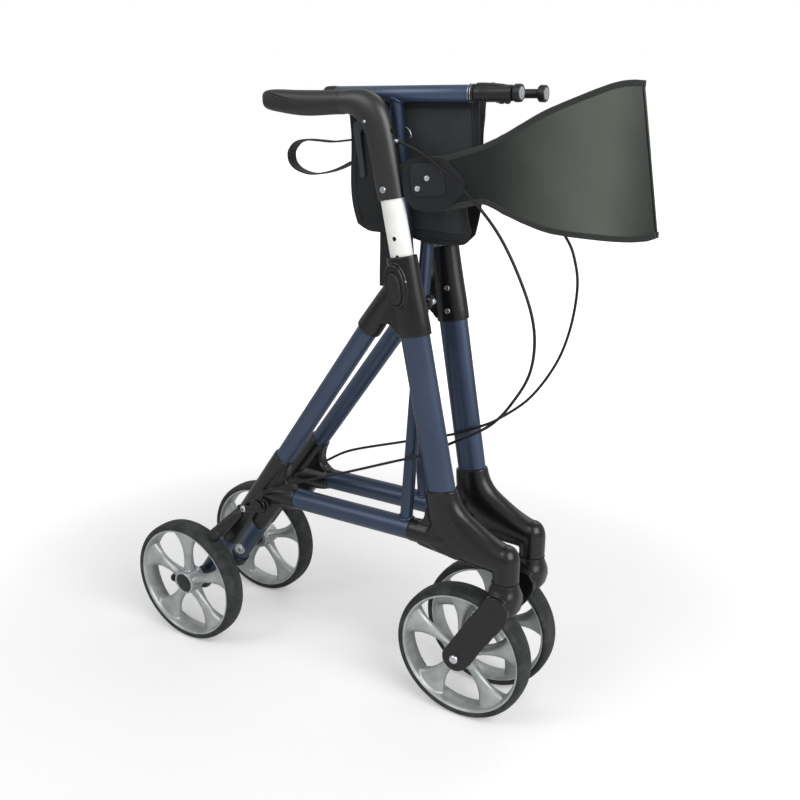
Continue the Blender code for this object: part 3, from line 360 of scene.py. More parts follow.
def bothSides(model, label, finish, body, slot, main=False, leaning=True):
    # a far copy, leaning with its frame unless drawn in full, and its mirror; main ones replace the CAD nodes
    made = {}
    for way, side in sides.items():
        piece = twin(model)
        for vertex in piece.data.vertices:
            x, v, z = vertex.co
            vertex.co = (x + rearX, frameY(side, v, z) if leaning else side * v, z)
        if side < 0:
            piece.data.flip_normals()
        piece.name = way + "_" + label
        made[way] = dress(piece, finish, way + "_" + body, [way + "_" + slot] if main else ())
    bpy.data.objects.remove(model)
    return made


def inMiddle(piece, finish, body, stands=()):
    for vertex in piece.data.vertices:
        vertex.co.x += rearX
    return dress(piece, finish, body, stands)


# Finishes. A Wire is a socket that can be reckoned with in plain expressions.

class Wire:
    def __init__(self, finish, socket):
        self.finish = finish
        self.socket = socket

    def reckon(self, operation, *others):
        return self.finish.add("ShaderNodeMath", {"operation": operation}, dict(enumerate((self, *others))))

    def __add__(self, other):
        return self.reckon("ADD", other)

    __radd__ = __add__

    def __mul__(self, other):
        return self.reckon("MULTIPLY", other)

    __rmul__ = __mul__

    def __sub__(self, other):
        return self.reckon("SUBTRACT", other)

    def __rsub__(self, other):
        return self.finish.add("ShaderNodeMath", {"operation": "SUBTRACT"}, {0: other, 1: self})

    def __pow__(self, other):
        return self.reckon("POWER", other)

    def above(self, low, high):
        settings = {"interpolation_type": "SMOOTHSTEP"}
        return self.finish.add("ShaderNodeMapRange", settings, {"Value": self, "From Min": low,
            "From Max": high})


class Finish:
    def __init__(self, name, **fixed):
        self.material = bpy.data.materials.new(name)
        self.material.use_nodes = True
        self.tree = self.material.node_tree
        self.shader = self.tree.nodes["Principled BSDF"]
        self.place = self.add("ShaderNodeTexCoord", {}, {}, "Object")
        for label, value in fixed.items():
            self.shader.inputs[label.replace("_", " ")].default_value = value

    def add(self, kind, settings, values, output=0):
        node = self.tree.nodes.new(kind)
        for key, value in settings.items():
            setattr(node, key, value)
        for key, value in values.items():
            if isinstance(value, Wire):
                self.tree.links.new(value.socket, node.inputs[key])
            else:
                node.inputs[key].default_value = value
        return Wire(self, node.outputs[output])

    def feed(self, label, wire):
        self.tree.links.new(wire.socket, self.shader.inputs[label])
        return self

    def noise(self, scale, detail=3.0, rough=0.5, place=None):
        values = {"Vector": place or self.place, "Scale": scale, "Detail": detail, "Roughness": rough}
        return self.add("ShaderNodeTexNoise", {"normalize": True}, values)

    def stretched(self, x, y, z, turn=(0, 0, 0), source=None):
        return self.add("ShaderNodeMapping", {}, {"Vector": source or self.place, "Scale": (x, y, z),
            "Rotation": turn})

    def mix(self, mask, low, high):
        return self.add("ShaderNodeMix", {"data_type": "RGBA"}, {0: mask, 6: low, 7: high}, 2)

    def bump(self, height, strength, distance, under=None):
        values = {"Height": height, "Strength": strength, "Distance": distance}
        if under:
            values["Normal"] = under
        return self.add("ShaderNodeBump", {}, values)


def tone(red, green, blue):
    # a colour as seen on screen, from 0 to 255
    return tuple((v / 255 / 12.92) if v / 255 <= 0.04045 else ((v / 255 + 0.055) / 1.055) ** 2.4
        for v in (red, green, blue)) + (1.0,)


def enamel(name, dark, light, metal, rough):
    # metallic paint: fine flakes, slow drift in depth, scuffs that dull it
    made = Finish(name, Metallic=metal, Coat_Weight=0.25, Coat_Roughness=0.22)
    drift = made.noise(14, 4)
    flakes = made.add("ShaderNodeTexVoronoi", {}, {"Vector": made.place, "Scale": 2600}, 0)
    scuffs = made.noise(260, 5, 0.65, made.stretched(1, 1, 0.12)).above(0.60, 0.78)
    made.feed("Base Color", made.mix(drift * 0.55 + flakes * 0.30, dark, light))
    made.feed("Roughness", rough + drift * 0.08 + scuffs * 0.14)
    made.feed("Normal", made.bump(flakes * 0.5 + scuffs, 0.12, 0.00015))
    return made


def moulding(name, dark, light, rough, grain=900, relief=0.00012, dull=0.10, specular=0.30):
    # moulded plastic: spark grain, flow clouds, faint rubbed patches
    made = Finish(name, Specular_IOR_Level=specular)
    spark = made.noise(grain, 6, 0.6)
    clouds = made.noise(22, 4, 0.55)
    rubbed = made.noise(75, 5, 0.7).above(0.56, 0.74)
    made.feed("Base Color", made.mix(clouds * 0.6 + rubbed * 0.4, dark, light))
    made.feed("Roughness", rough + clouds * dull - rubbed * 0.07)
    made.feed("Normal", made.bump(spark, 0.35, relief))
    return made


def castMetal(name, dark, light, metal, rough):
    # sprayed or cast metal: soft orange peel, darker in drifts
    made = Finish(name, Metallic=metal, Specular_IOR_Level=0.45)
    peel = made.noise(700, 3)
    drift = made.noise(26, 5, 0.6)
    made.feed("Base Color", made.mix(drift.above(0.30, 0.70), dark, light))
    made.feed("Roughness", rough + drift * 0.12)
    made.feed("Normal", made.bump(peel, 0.18, 0.00010))
    return made


def brightMetal(name, colour, rough):
    made = Finish(name, Metallic=1.0)
    lathe = made.noise(1500, 2, 0.5, made.stretched(0.2, 1, 1))
    stain = made.noise(120, 4)
    made.feed("Base Color", made.mix(stain.above(0.35, 0.75), colour,
        tuple(c * 0.72 for c in colour[:3]) + (1.0,)))
    made.feed("Roughness", rough + lathe * 0.15)
    made.feed("Normal", made.bump(lathe, 0.12, 0.00006))
    return made


def rubber(name, dark, light):
    made = Finish(name, Specular_IOR_Level=0.28)
    dust = made.noise(46, 5, 0.65)
    pores = made.noise(1300, 4, 0.6)
    made.feed("Base Color", made.mix(dust.above(0.35, 0.80), dark, light))
    made.feed("Roughness", 0.60 + dust * 0.16)
    made.feed("Normal", made.bump(pores, 0.30, 0.00012))
    return made


def cloth(name, dark, light, pitch, rough=0.82, sheen=0.08, paintedShade=None):
    # a woven cloth that hangs upright along X: warp and weft rise in turn
    made = Finish(name, Specular_IOR_Level=0.15, Sheen_Weight=sheen, Sheen_Roughness=0.45)
    warp, weft = [made.add("ShaderNodeTexWave", {"wave_type": "BANDS", "bands_direction": way},
        {"Vector": made.place, "Scale": 0.3142 / pitch, "Distortion": 0.6, "Detail": 1.0}, "Fac")
        for way in ("X", "Z")]
    fuzz = made.noise(1800, 3, 0.6)
    drift = made.noise(11, 4, 0.55)
    weave = warp.reckon("MAXIMUM", weft) * 0.7 + fuzz * 0.3
    lightness = drift * 0.22 + weave * 0.40 + 0.14
    if paintedShade:
        # painted shade: darker before the first X span and past the second, standing in for the shade that
        # falls on the folded band and the seat
        along = made.add("ShaderNodeSeparateXYZ", {}, {"Vector": made.place}, "X")
        lightness = lightness - (1 - along.above(paintedShade[0], paintedShade[1])) * paintedShade[2] - along.above(paintedShade[3],
            paintedShade[4]) * paintedShade[5]
    made.feed("Base Color", made.mix(lightness, dark, light))
    made.feed("Roughness", rough + weave * 0.12 - drift * 0.05)
    made.feed("Normal", made.bump(weave, 0.40, 0.00018))
    return made


def webbing(name, dark, light, pitch, rough=0.75):
    # narrow ribbed tape with slanting ribs
    made = Finish(name, Specular_IOR_Level=0.25, Sheen_Weight=0.15)
    ribs = made.add("ShaderNodeTexWave", {"wave_type": "BANDS", "bands_direction": "DIAGONAL"},
        {"Vector": made.place, "Scale": 0.3142 / pitch, "Distortion": 0.4}, "Fac")
    fuzz = made.noise(1500, 3, 0.6)
    drift = made.noise(28, 4)
    made.feed("Base Color", made.mix(ribs * 0.45 + drift * 0.4, dark, light))
    made.feed("Roughness", rough + fuzz * 0.15)
    made.feed("Normal", made.bump(ribs * 0.6 + fuzz * 0.4, 0.45, 0.00022))
    return made


frameBlue = enamel("navy_enamel", tone(38, 50, 74), tone(76, 92, 118), 0.50, 0.36)
# painted shade: a darker copy of the frame's navy paint for the brace rails, legs and welds, which stand in
# less light
braceBlueShaded = enamel("brace_enamel_shaded", tone(34, 46, 68), tone(68, 83, 108), 0.50, 0.34)
# painted light: a lighter copy of the same navy paint for the seat tubes, which catch more light
seatBlueLit = enamel("seat_enamel_lit", tone(44, 58, 83), tone(86, 102, 128), 0.50, 0.34)
casePlastic = moulding("case_plastic", tone(10, 11, 13), tone(23, 24, 25), 0.24, relief=0.00008,
    specular=0.46)
housingPlastic = moulding("housing_plastic", tone(14, 15, 16), tone(27, 28, 28), 0.36, relief=0.00008,
    specular=0.74)
satinPlastic = moulding("satin_plastic", tone(24, 25, 27), tone(40, 41, 43), 0.36, relief=0.00006,
    specular=0.36)
softGrip = moulding("grip_rubber", tone(15, 16, 17), tone(30, 32, 31), 0.38, 1300, 0.00010, specular=0.60)
tyreRubber = rubber("tyre_rubber", tone(40, 42, 42), tone(71, 73, 72))
rimSilver = castMetal("rim_silver", tone(156, 160, 160), tone(190, 194, 193), 0.62, 0.33)
hubSilver = castMetal("hub_silver", tone(160, 166, 168), tone(196, 200, 202), 0.45, 0.28)
steel = brightMetal("bright_steel", tone(214, 216, 220), 0.18)
zinc = brightMetal("zinc_plate", tone(196, 202, 212), 0.30)
paleTube = castMetal("pale_anodised", tone(240, 242, 238), tone(252, 253, 249), 0.0, 0.30)
# painted shade on the band: darker near the hinge and towards the fold, lighter between
bandCloth = cloth("band_cloth", tone(33, 36, 36), tone(118, 123, 114), 0.0011,
    paintedShade=(0.17, 0.33, 0.56, 0.33, 0.388, 0.34))
patchCloth = cloth("patch_cloth", tone(24, 26, 28), tone(48, 50, 53), 0.0010)
bandTape = webbing("band_tape", tone(32, 35, 34), tone(58, 62, 58), 0.0010)
# painted shade on the seat cloth: darker towards its rear end
seatCloth = cloth("seat_cloth", tone(31, 32, 35), tone(78, 81, 84), 0.0009, 0.74,
    paintedShade=(0.0, 0.10, 0.28, 0.50, 0.60, 0.0))
seatTape = webbing("seat_tape", tone(26, 27, 30), tone(50, 52, 55), 0.0010)
strapTape = webbing("strap_tape", tone(30, 30, 33), tone(50, 51, 54), 0.0006)
padPlastic = moulding("pad_plastic", tone(30, 31, 33), tone(48, 50, 52), 0.46, specular=0.24)
leverGrey = moulding("lever_grey", tone(46, 49, 53), tone(66, 70, 75), 0.42)
thread = moulding("stitch_thread", tone(52, 54, 55), tone(78, 80, 80), 0.62)
cableSkin = moulding("cable_skin", tone(9, 9, 10), tone(22, 22, 22), 0.34, 1500, 0.00003, specular=0.36)
# painted shade: a near-black finish for the insides of holes and slots
paintedHoleShade = moulding("hole_shade", tone(8, 8, 9), tone(16, 16, 17), 0.8)
print("finishes mixed")


# Camera, lights and floor

cameraSet = {"place": (0.67173, -1.03467, 0.82998), "tilt": 71.943, "turn": 30.99, "lens": 40.60}
bpy.ops.object.camera_add(location=cameraSet["place"], rotation=(radians(cameraSet["tilt"]), 0,
    radians(cameraSet["turn"])))
camera = bpy.context.object
camera.data.sensor_width = 36
camera.data.lens = cameraSet["lens"]
scene.camera = camera

lampSet = (
    # place, aimed at, size, watts
    ((-0.9, -2.0, 2.3), (0.0, 0.0, 0.45), 1.6, 22),
    ((2.3, -0.9, 1.8), (0.0, 0.0, 0.40), 2.0, 60),
    ((0.2, 2.2, 2.4), (0.0, 0.0, 0.45), 1.8, 12),
)
for place, aim, size, watts in lampSet:
    bpy.ops.object.light_add(type="AREA", location=place)
    lamp = bpy.context.object
    lamp.data.size = size
    lamp.data.energy = watts
    lamp.rotation_euler = (Vector(aim) - Vector(place)).to_track_quat("-Z", "Y").to_euler()

backdrop = {"shown": 1.0, "light": 0.29}
world = bpy.data.worlds.new("studio")
scene.world = world
world.use_nodes = True
worldTree = world.node_tree
paths = worldTree.nodes.new("ShaderNodeLightPath")
seen = worldTree.nodes.new("ShaderNodeMath")
seen.operation = "MAXIMUM"
worldTree.links.new(paths.outputs["Is Camera Ray"], seen.inputs[0])
worldTree.links.new(paths.outputs["Is Transmission Ray"], seen.inputs[1])
strength = worldTree.nodes.new("ShaderNodeMapRange")
strength.inputs["To Min"].default_value = backdrop["light"]
strength.inputs["To Max"].default_value = backdrop["shown"]
worldTree.links.new(seen.outputs[0], strength.inputs["Value"])
glossy = worldTree.nodes.new("ShaderNodeMath")
glossy.operation = "MULTIPLY_ADD"
glossy.inputs[1].default_value = 0.30
worldTree.links.new(paths.outputs["Is Glossy Ray"], glossy.inputs[0])
worldTree.links.new(strength.outputs[0], glossy.inputs[2])
worldTree.links.new(glossy.outputs[0], worldTree.nodes["Background"].inputs["Strength"])
worldTree.nodes["Background"].inputs["Color"].default_value = (1, 1, 1, 1)

letGo()
bpy.ops.mesh.primitive_grid_add(x_subdivisions=8, y_subdivisions=8, size=30, location=(0, 0, -0.0002))
floor = bpy.context.object
floor.name = "floor"
floorPaint = Finish("floor_paint", Roughness=0.9, Specular_IOR_Level=0.0)
spread = floorPaint.add("ShaderNodeVectorMath", {"operation": "LENGTH"}, {0: floorPaint.place}, "Value")
floorShade = floorPaint.noise(3, 2) * 0.02 + 0.86
floorPaint.feed("Base Color", floorPaint.add("ShaderNodeCombineColor", {},
    {0: floorShade, 1: floorShade, 2: floorShade}))
cameraRay = floorPaint.add("ShaderNodeLightPath", {}, {}, "Is Camera Ray")
glow = cameraRay * (0.26 + spread.above(0.5, 1.6) * 0.74)
floorPaint.feed("Emission Color", floorPaint.add("ShaderNodeCombineColor", {}, {0: glow, 1: glow, 2: glow}))
floorPaint.shader.inputs["Emission Strength"].default_value = 1.0
floor.data.materials.append(floorPaint.material)
print("camera, lamps and floor set")


# Small fasteners

def buttonScrew(name, centre, axis, radius, height, socket=0.45):
    # a domed head with a round socket in it
    centre, axis = Vector(centre), Vector(axis).normalized()
    profile = [(radius, -height * 0.2), (radius, height * 0.25), (radius * 0.93, height * 0.60),
        (radius * 0.76, height * 0.88), (radius * (socket + 0.08), height),
        (radius * socket, height * 0.92), (radius * socket * 0.9, height * 0.35), (0, height * 0.30)]
    return turned(name, [(0, -height * 0.2)] + profile, centre, axis, 32)


def crossScrew(name, centre, axis, radius, height):
    # a pan head with two slots across it
    head = turned(name, [(0, -height * 0.2), (radius, -height * 0.2), (radius, height * 0.45),
        (radius * 0.86, height * 0.86), (radius * 0.5, height), (0, height)], centre, axis, 32)
    first, second = waysOf(axis)
    for way, other in ((first, second), (second, first)):
        slot = [section(Vector(centre) + Vector(axis).normalized() * height * lift, way, other,
            radius * 0.62, radius * 0.14, 8) for lift in (0.35, 1.5)]
        carved(head, skin("slot", slot, 16))
    return head


# Wheels

rearOut = 0.0494             # side frame to the middle of a rear wheel
rimSet = {
    "radius": 0.0903,
    "halfWidth": 0.0150,
    "spokes": 5,
    "stations": (            # radius, half width along the rim, half depth, squareness
        (0.0110, 0.0090, 0.0125, 2.0),
        (0.0190, 0.0084, 0.0112, 1.8),
        (0.0290, 0.0078, 0.0092, 1.6),
        (0.0410, 0.0082, 0.0080, 1.55),
        (0.0530, 0.0098, 0.0076, 1.6),
        (0.0630, 0.0128, 0.0079, 1.8),
        (0.0710, 0.0170, 0.0086, 2.1),
        (0.0780, 0.0222, 0.0096, 2.4),
        (0.0852, 0.0280, 0.0106, 2.8),
    ),
}


def wheelTyre():
    shoulder = [(0.0900, 0.0152), (0.0912, 0.0164), (0.0932, 0.0170), (0.0944, 0.01695), (0.0949, 0.0164),
        (0.0954, 0.0166), (0.0970, 0.0156), (0.0984, 0.0136), (0.0993, 0.0106), (0.0998, 0.0066),
        (0.1000, 0.0022)]
    profile = shoulder + [(radius, -along) for radius, along in reversed(shoulder)]
    return turned("tyre", profile, (0, 0, 0), yWay, 128, closed=True)


def wheelRim(hubHalf, hubRadius):
    radius, half = rimSet["radius"], rimSet["halfWidth"]
    wall = [(radius - 0.0002, half), (radius - 0.0026, half), (radius - 0.0034, half - 0.0010),
        (radius - 0.0044, half - 0.0040), (radius - 0.0056, half - 0.0100), (radius - 0.0060, 0.0)]
    ring = turned("ring", wall + [(r, -a) for r, a in reversed(wall[:-1])], (0, 0, 0), yWay, 96, closed=True)
    hub = turned("hub", [(0, hubHalf), (hubRadius - 0.0014, hubHalf), (hubRadius, hubHalf - 0.0014),
        (hubRadius + 0.0012, 0), (hubRadius, -hubHalf + 0.0014), (hubRadius - 0.0014, -hubHalf),
        (0, -hubHalf)], (0, 0, 0), yWay, 64)
    spokes = []
    for i in range(rimSet["spokes"]):
        turn = radians(90 + 360 * i / rimSet["spokes"])
        out = Vector((cos(turn), 0, sin(turn)))
        along = Vector((-sin(turn), 0, cos(turn)))
        stations = eased(rimSet["stations"], 4)
        spokes.append(skin("spoke", [section(out * r, along, yWay, wide, deep, square)
            for r, wide, deep, square in stations], 36))
    return cast("rim", [ring, hub, *spokes], 0.0011, 5)


def setAt(model, place):
    copy = twin(model)
    copy.data.transform(Matrix.Translation(place))
    return copy


tyreModel = shaded(wheelTyre(), 40)
rearRimModel = wheelRim(0.0160, 0.0182)
frontRimModel = wheelRim(0.0178, 0.0172)
carved(rearRimModel, rod("well", (0, 0.0120, 0), (0, 0.03, 0), 0.0158, 0.0002, 48))
lipModel = shaded(turned("lip", [(0.0901, 0.0146), (0.0901, 0.0154), (0.0894, 0.0157), (0.0884, 0.0156),
    (0.0879, 0.0150), (0.0882, 0.0144)], (0, 0, 0), yWay, 128, closed=True), 40)
rearHub = Vector((0, rearOut, chassis["axleZ"]))
frontHub = Vector((chassis["wheelbase"], 0, chassis["axleZ"]))
for label, hub, rimModel, body in (("rear", rearHub, rearRimModel, "rear_wheel"),
        ("front", frontHub, frontRimModel, "front_wheel")):
    bothSides(setAt(tyreModel, hub), label + "TyreRing", tyreRubber, body, label + "_tyre", True)
    bothSides(setAt(rimModel, hub), label + "Rim", rimSilver, body, label + "_rim", True)
    bothSides(setAt(lipModel, hub), label + "RimLip", hubSilver, body, label + "_rim")
    inner = setAt(lipModel, (0, 0, 0))
    inner.data.transform(Matrix.Rotation(pi, 4, "Z"))
    inner.data.transform(Matrix.Translation(hub))
    bothSides(inner, label + "RimInnerLip", hubSilver, body, label + "_rim")
for model in (tyreModel, rearRimModel, frontRimModel, lipModel):
    bpy.data.objects.remove(model)

boss = shaded(turned("boss", [(0.0157, 0.0100), (0.0157, 0.0155), (0.0161, 0.0163), (0.0176, 0.0164),
    (0.0184, 0.0156), (0.0186, 0.0140), (0.0184, 0.0100)], rearHub, yWay, 64, closed=True), 35)
bothSides(boss, "rearHubRing", hubSilver, "rear_wheel", "rear_rim")
cap = shaded(turned("cap", [(0, 0.0100), (0.0155, 0.0100), (0.0155, 0.0136), (0.0148, 0.0146),
    (0.0120, 0.0150), (0.0070, 0.0153), (0, 0.0154)], rearHub, yWay, 64), 35)
bothSides(cap, "rearHubCap", satinPlastic, "rear_wheel", "rear_hub_cap", True)
print("wheels made")


# Side frame tubes

def ovalSections(zs, halfDepth, halfWidth, square=2.0):
    return [section(frontPoint(z), frontDepthWay, yWay, halfDepth, halfWidth, square) for z in zs]


frontTube = shaded(skin("frontTube", ovalSections((0.2925, 0.400, 0.520, 0.634), 0.021, 0.0135), 56), 35)
bothSides(frontTube, "frontTubeOval", frameBlue, "frame", "front_tube", True)
rearTube = shaded(skin("rearTube", [section(rearPoint(z), rearDepthWay, yWay, 0.014, 0.014)
    for z in (0.077, 0.18, 0.288, 0.44, 0.584)], 56), 35)
bothSides(rearTube, "rearTubeRound", frameBlue, "frame", "rear_tube", True)

legFace = 0.0143
wheelFace = rearOut - 0.0163
axle = [(0, 0.0580), (0.0080, 0.0580), (0.0080, 0.0560), (0.0050, 0.0560), (0.0050, wheelFace),
    (0.0096, wheelFace), (0.0100, wheelFace - 0.0008), (0.0100, legFace + 0.0006), (0.0094, legFace),
    (0.0050, legFace), (0, legFace)]
axleCentre = (0, 0, chassis["axleZ"])
axle = shaded(turned("axle", axle, axleCentre, yWay, 48), 30)
bothSides(axle, "rearAxleSpacer", satinPlastic, "frame", "rear_axle", True)
washer = turned("washer", [(0, -0.0138), (0.0092, -0.0138), (0.0092, -0.0156), (0, -0.0156)], axleCentre,
                yWay, 40)
nutRings = ((-0.0154, 0.0078), (-0.0162, 0.0084), (-0.0186, 0.0084), (-0.0192, 0.0078))
hexagon = skin("nut", [section((0, v, chassis["axleZ"]), xWay, zWay, r, r) for v, r in nutRings], 6)
dome = turned("dome", [(0.0062, -0.0188), (0.0060, -0.0200), (0.0040, -0.0208), (0, -0.0210)], axleCentre,
              yWay, 32)
nut = shaded(merged("nut", [washer, hexagon, dome]), 30)
bothSides(nut, "rearAxleNut", steel, "frame", "rear_axle")
print("tubes and axles made")


# Castings

junctionSet = {"armZ": 0.548, "buttonZ": 0.6115, "buttonDepth": -0.0075}


def upright(radiusDepth, radiusWidth, z):
    return section(frontPoint(z), frontDepthWay, yWay, radiusDepth, radiusWidth)


sleeveRings = (              # z, and what the sleeve adds to the tube's half depth and half width
    (0.5480, 0.0018, 0.0018), (0.5488, 0.0026, 0.0026), (0.560, 0.0028, 0.0028), (0.580, 0.0022, 0.0027),
    (0.600, 0.0014, 0.0025), (0.625, 0.0009, 0.0018), (0.6485, 0.0006, 0.0013), (0.6495, 0.0, 0.0006))
junctionSleeve = skin("sleeve", [upright(0.021 + more, 0.0135 + wide, z) for z, more, wide in sleeveRings],
                      56)
armFoot = rearPoint(junctionSet["armZ"])
armRings = ((0, 0.0162), (0.0008, 0.0170), (0.006, 0.0172), (0.030, 0.0164), (0.052, 0.0156), (0.070, 0.0146))
junctionArm = skin("arm", [section(armFoot + rearWay * along, rearDepthWay, yWay, radius, radius)
                           for along, radius in armRings], 48)
webX = armFoot.x
junctionWeb = slab("web", [(webX + 0.013, 0.5545), (webX + 0.019, 0.5570), (webX + 0.025, 0.5605),
    (webX + 0.032, 0.5625), (webX + 0.039, 0.5605), (webX + 0.0445, 0.5560), (webX + 0.050, 0.5495),
    (webX + 0.062, 0.560), (webX + 0.056, 0.618), (webX + 0.018, 0.588)], 0.0252)
buttonCentre = frontPoint(junctionSet["buttonZ"], junctionSet["buttonDepth"])


def buttonSections(halfDepth, halfHeight, steps):
    return [section(buttonCentre + yWay * v, frontDepthWay, frontWay, halfDepth - inset, halfHeight - inset,
        2.4) for v, inset in steps]


bezelSteps = ((0.006, -0.0016), (0.012, -0.0008), (0.0185, 0.0), (0.0200, 0.0007), (0.0205, 0.0016))
bezel = skin("bezel", [section(rim[0] + frontWay * 0.0026 + frontDepthWay * 0.0010, *rim[1:])
                       for rim in buttonSections(0.0146, 0.0282, bezelSteps)], 48)
well = skin("well", buttonSections(0.0106, 0.0216, ((0.0146, 0.0), (0.030, 0.0))), 48)
junction = carved(cast("junction", [junctionSleeve, junctionArm, junctionWeb, bezel], 0.0009, 3), well)
bothSides(junction, "topJunctionCase", casePlastic, "frame", "top_junction", True)
buttonSteps = ((0.0186, 0.0), (0.0206, 0.0), (0.0216, 0.0006), (0.0221, 0.0016))
button = skin("button", buttonSections(0.0100, 0.0209, buttonSteps), 48)
dish = turned("dish", [(0, 0.0), (0.0050, 0.0004), (0.0066, 0.0012), (0.0072, 0.006), (0, 0.006)],
    frontPoint(junctionSet["buttonZ"] + 0.009, junctionSet["buttonDepth"], 0.0212), yWay, 32)
carved(button, dish)
bothSides(shaded(button, 35), "heightButtonKey", satinPlastic, "button", "height_button", True)

frontLimb = {
    "stations": (            # x, z, turn, half depth, half width
        (0.4330, 0.3368, 0.179, 0.0228, 0.0155),
        (0.4328, 0.3380, 0.179, 0.0236, 0.0163),
        (0.4360, 0.3200, 0.24, 0.0258, 0.0172),
        (0.4430, 0.3000, 0.46, 0.0300, 0.0178),
        (0.4550, 0.2840, 0.80, 0.0325, 0.0180),
        (0.4720, 0.2720, 1.06, 0.0325, 0.0180),
        (0.4920, 0.2650, 1.28, 0.0285, 0.0178),
        (0.5120, 0.2600, 1.42, 0.0238, 0.0180),
        (0.5314, 0.2564, pi / 2, 0.0206, 0.0180)),
}
limbStations = [frontLimb["stations"][1]] + eased(frontLimb["stations"][1:], 4)
limb = skin("limb", bentRings(limbStations[1:]), 48)
kingpin = turned("kingpin", [(0, 0.2786), (0.0040, 0.2783), (0.0085, 0.2767), (0.0128, 0.2728),
    (0.0160, 0.2672), (0.0178, 0.2604), (0.0183, 0.2530), (0.0181, 0.2270), (0.0175, 0.2262), (0, 0.2262)],
    (chassis["kingpinX"], 0, 0), zWay, 64)
socket = skin("socket", barRings(0, chassis["railZ"], ((0.3858, 0.0157), (0.3864, 0.0165), (0.400, 0.0170),
    (0.447, 0.0185))), 48)
notch = slab("notch", [(0.3980, 0.2760), (0.3985, 0.2818), (0.4060, 0.2864), (0.4102, 0.2955),
    (0.4118, 0.3079), (0.4250, 0.3100), (0.4300, 0.2700)], 0.0200, 0, 0.0050, 4)
keel = slab("keel", [(0.3990, 0.2640), (0.3990, 0.2515), (0.4157, 0.2490), (0.4472, 0.2452),
    (0.4660, 0.2418), (0.4760, 0.2600), (0.4400, 0.2760)], 0.0290, 0, 0.0080, 5)
cheek = slab("cheek", [(0.4120, 0.2650), (0.4120, 0.2690), (0.4230, 0.2860), (0.4300, 0.3050),
    (0.4560, 0.3050), (0.4900, 0.2650), (0.4680, 0.2450), (0.4350, 0.2490), (0.4200, 0.2570)], 0.0336, 0,
    0.0060, 5)
bothSides(cast("frontCasting", [limb, kingpin, socket, notch, keel, cheek], 0.0010, 18), "frontCastingCase",
    casePlastic, "frame", "front_casting", True)

rearSleeve = skin("sleeve", rearRings(((0.168, 0.0160), (0.1686, 0.0166), (0.20, 0.0168), (0.25, 0.0168),
    (0.288, 0.0166), (0.331, 0.0164), (0.332, 0.0156))), 48)
rearSocket = skin("socket", barRings(0, chassis["railZ"], ((0.128, 0.0165), (0.160, 0.0167),
    (0.1868, 0.0165), (0.1877, 0.0157))), 48)
rearWeb = slab("web", [(0.1600, 0.3240), (0.1800, 0.3250), (0.1765, 0.3165), (0.1738, 0.3090),
    (0.1724, 0.3010), (0.1736, 0.2940), (0.1765, 0.2890), (0.1800, 0.2862), (0.1850, 0.2820),
    (0.1860, 0.2510), (0.1720, 0.2480), (0.1570, 0.2465), (0.1370, 0.2210), (0.1180, 0.1960),
    (0.1000, 0.2100)], 0.0210, 0, 0.0050, 4)
brakeX, brakeZ = 0.124, 0.247
brakeBoss = rod("boss", (brakeX, 0.006, brakeZ), (brakeX, 0.0190, brakeZ), 0.0125, 0.001, 40)
bothSides(cast("rearCasting", [rearSleeve, rearSocket, rearWeb, brakeBoss], 0.0010, 8), "rearCastingCase",
    casePlastic, "frame", "rear_casting", True)

pedalFoot = rearPoint(0.0730)
pedalCap = skin("cap", rearRings(((0.0680, 0.0150), (0.0690, 0.0165), (0.0826, 0.0166), (0.0830, 0.0160))),
    40)
pedalStations = (            # from the tube's foot: x, z and y, half height, half width
    (-0.002, -0.001, 0.0, 0.0080, 0.0110), (-0.024, -0.006, 0.003, 0.0072, 0.0110),
    (-0.046, -0.009, 0.006, 0.0075, 0.0120), (-0.058, -0.010, 0.007, 0.0070, 0.0110),
    (-0.063, -0.010, 0.007, 0.0040, 0.0070))
pedalBend = skin("bend", [section((pedalFoot.x + dx, dv, pedalFoot.z + dz), zWay, yWay, high, wide, 2.6)
                          for dx, dz, dv, high, wide in eased(pedalStations, 3)], 32)
bothSides(cast("pedal", [pedalCap, pedalBend], 0.0009, 3), "tippingPedalFoot", casePlastic, "frame",
    "tipping_pedal", True)
print("castings made")


# Casters

forkSet = {"arm": 0.0070, "gap": 0.0400, "endRadius": 0.0195}
forkTop = 0.2259
kingpinX = chassis["kingpinX"]
axlePlace = Vector((chassis["wheelbase"], 0, chassis["axleZ"]))
forkWay = Vector((0.0610, 0, 0.0905)).normalized()
forkAcross = Vector((forkWay.z, 0, -forkWay.x))
overWheel = axlePlace + forkWay * 0.1050
crownStations = (            # centre, turn, half depth, half width, squareness
    (Vector((kingpinX, 0, forkTop)), 0.0, 0.0168, 0.0168, 2.0),
    (Vector((0.5316, 0, forkTop - 0.0070)), 0.09, 0.0196, 0.0186, 2.1),
    (Vector((0.5320, 0, forkTop - 0.0160)), 0.24, 0.0222, 0.0228, 2.4),
    (overWheel + forkWay * 0.0080 - forkAcross * 0.0026, 0.49, 0.0224, 0.0254, 2.7),
    (overWheel - forkAcross * 0.0042, 0.594, 0.0206, 0.0256, 2.9))
crown = skin("crown", [section(centre, Vector((cos(turn), 0, -sin(turn))), yWay, deep, wide, square)
                       for centre, turn, deep, wide, square in eased(crownStations, 4)], 48)
forkParts = [crown]
forkSide = (                 # (x, z) from the axle, round the arm from its lower end
    (0.0236, -0.0030), (0.0310, 0.0100), (0.0382, 0.0226), (0.0478, 0.0372), (0.0581, 0.0530),
    (0.0668, 0.0652),
    (0.0733, 0.0760), (0.0771, 0.0870), (0.0765, 0.0980), (0.0700, 0.1080), (0.0600, 0.1120),
    (0.0510, 0.1115),
    (0.0441, 0.1080), (0.0331, 0.0890), (0.0186, 0.0680), (0.0056, 0.0460), (-0.0084, 0.0230))
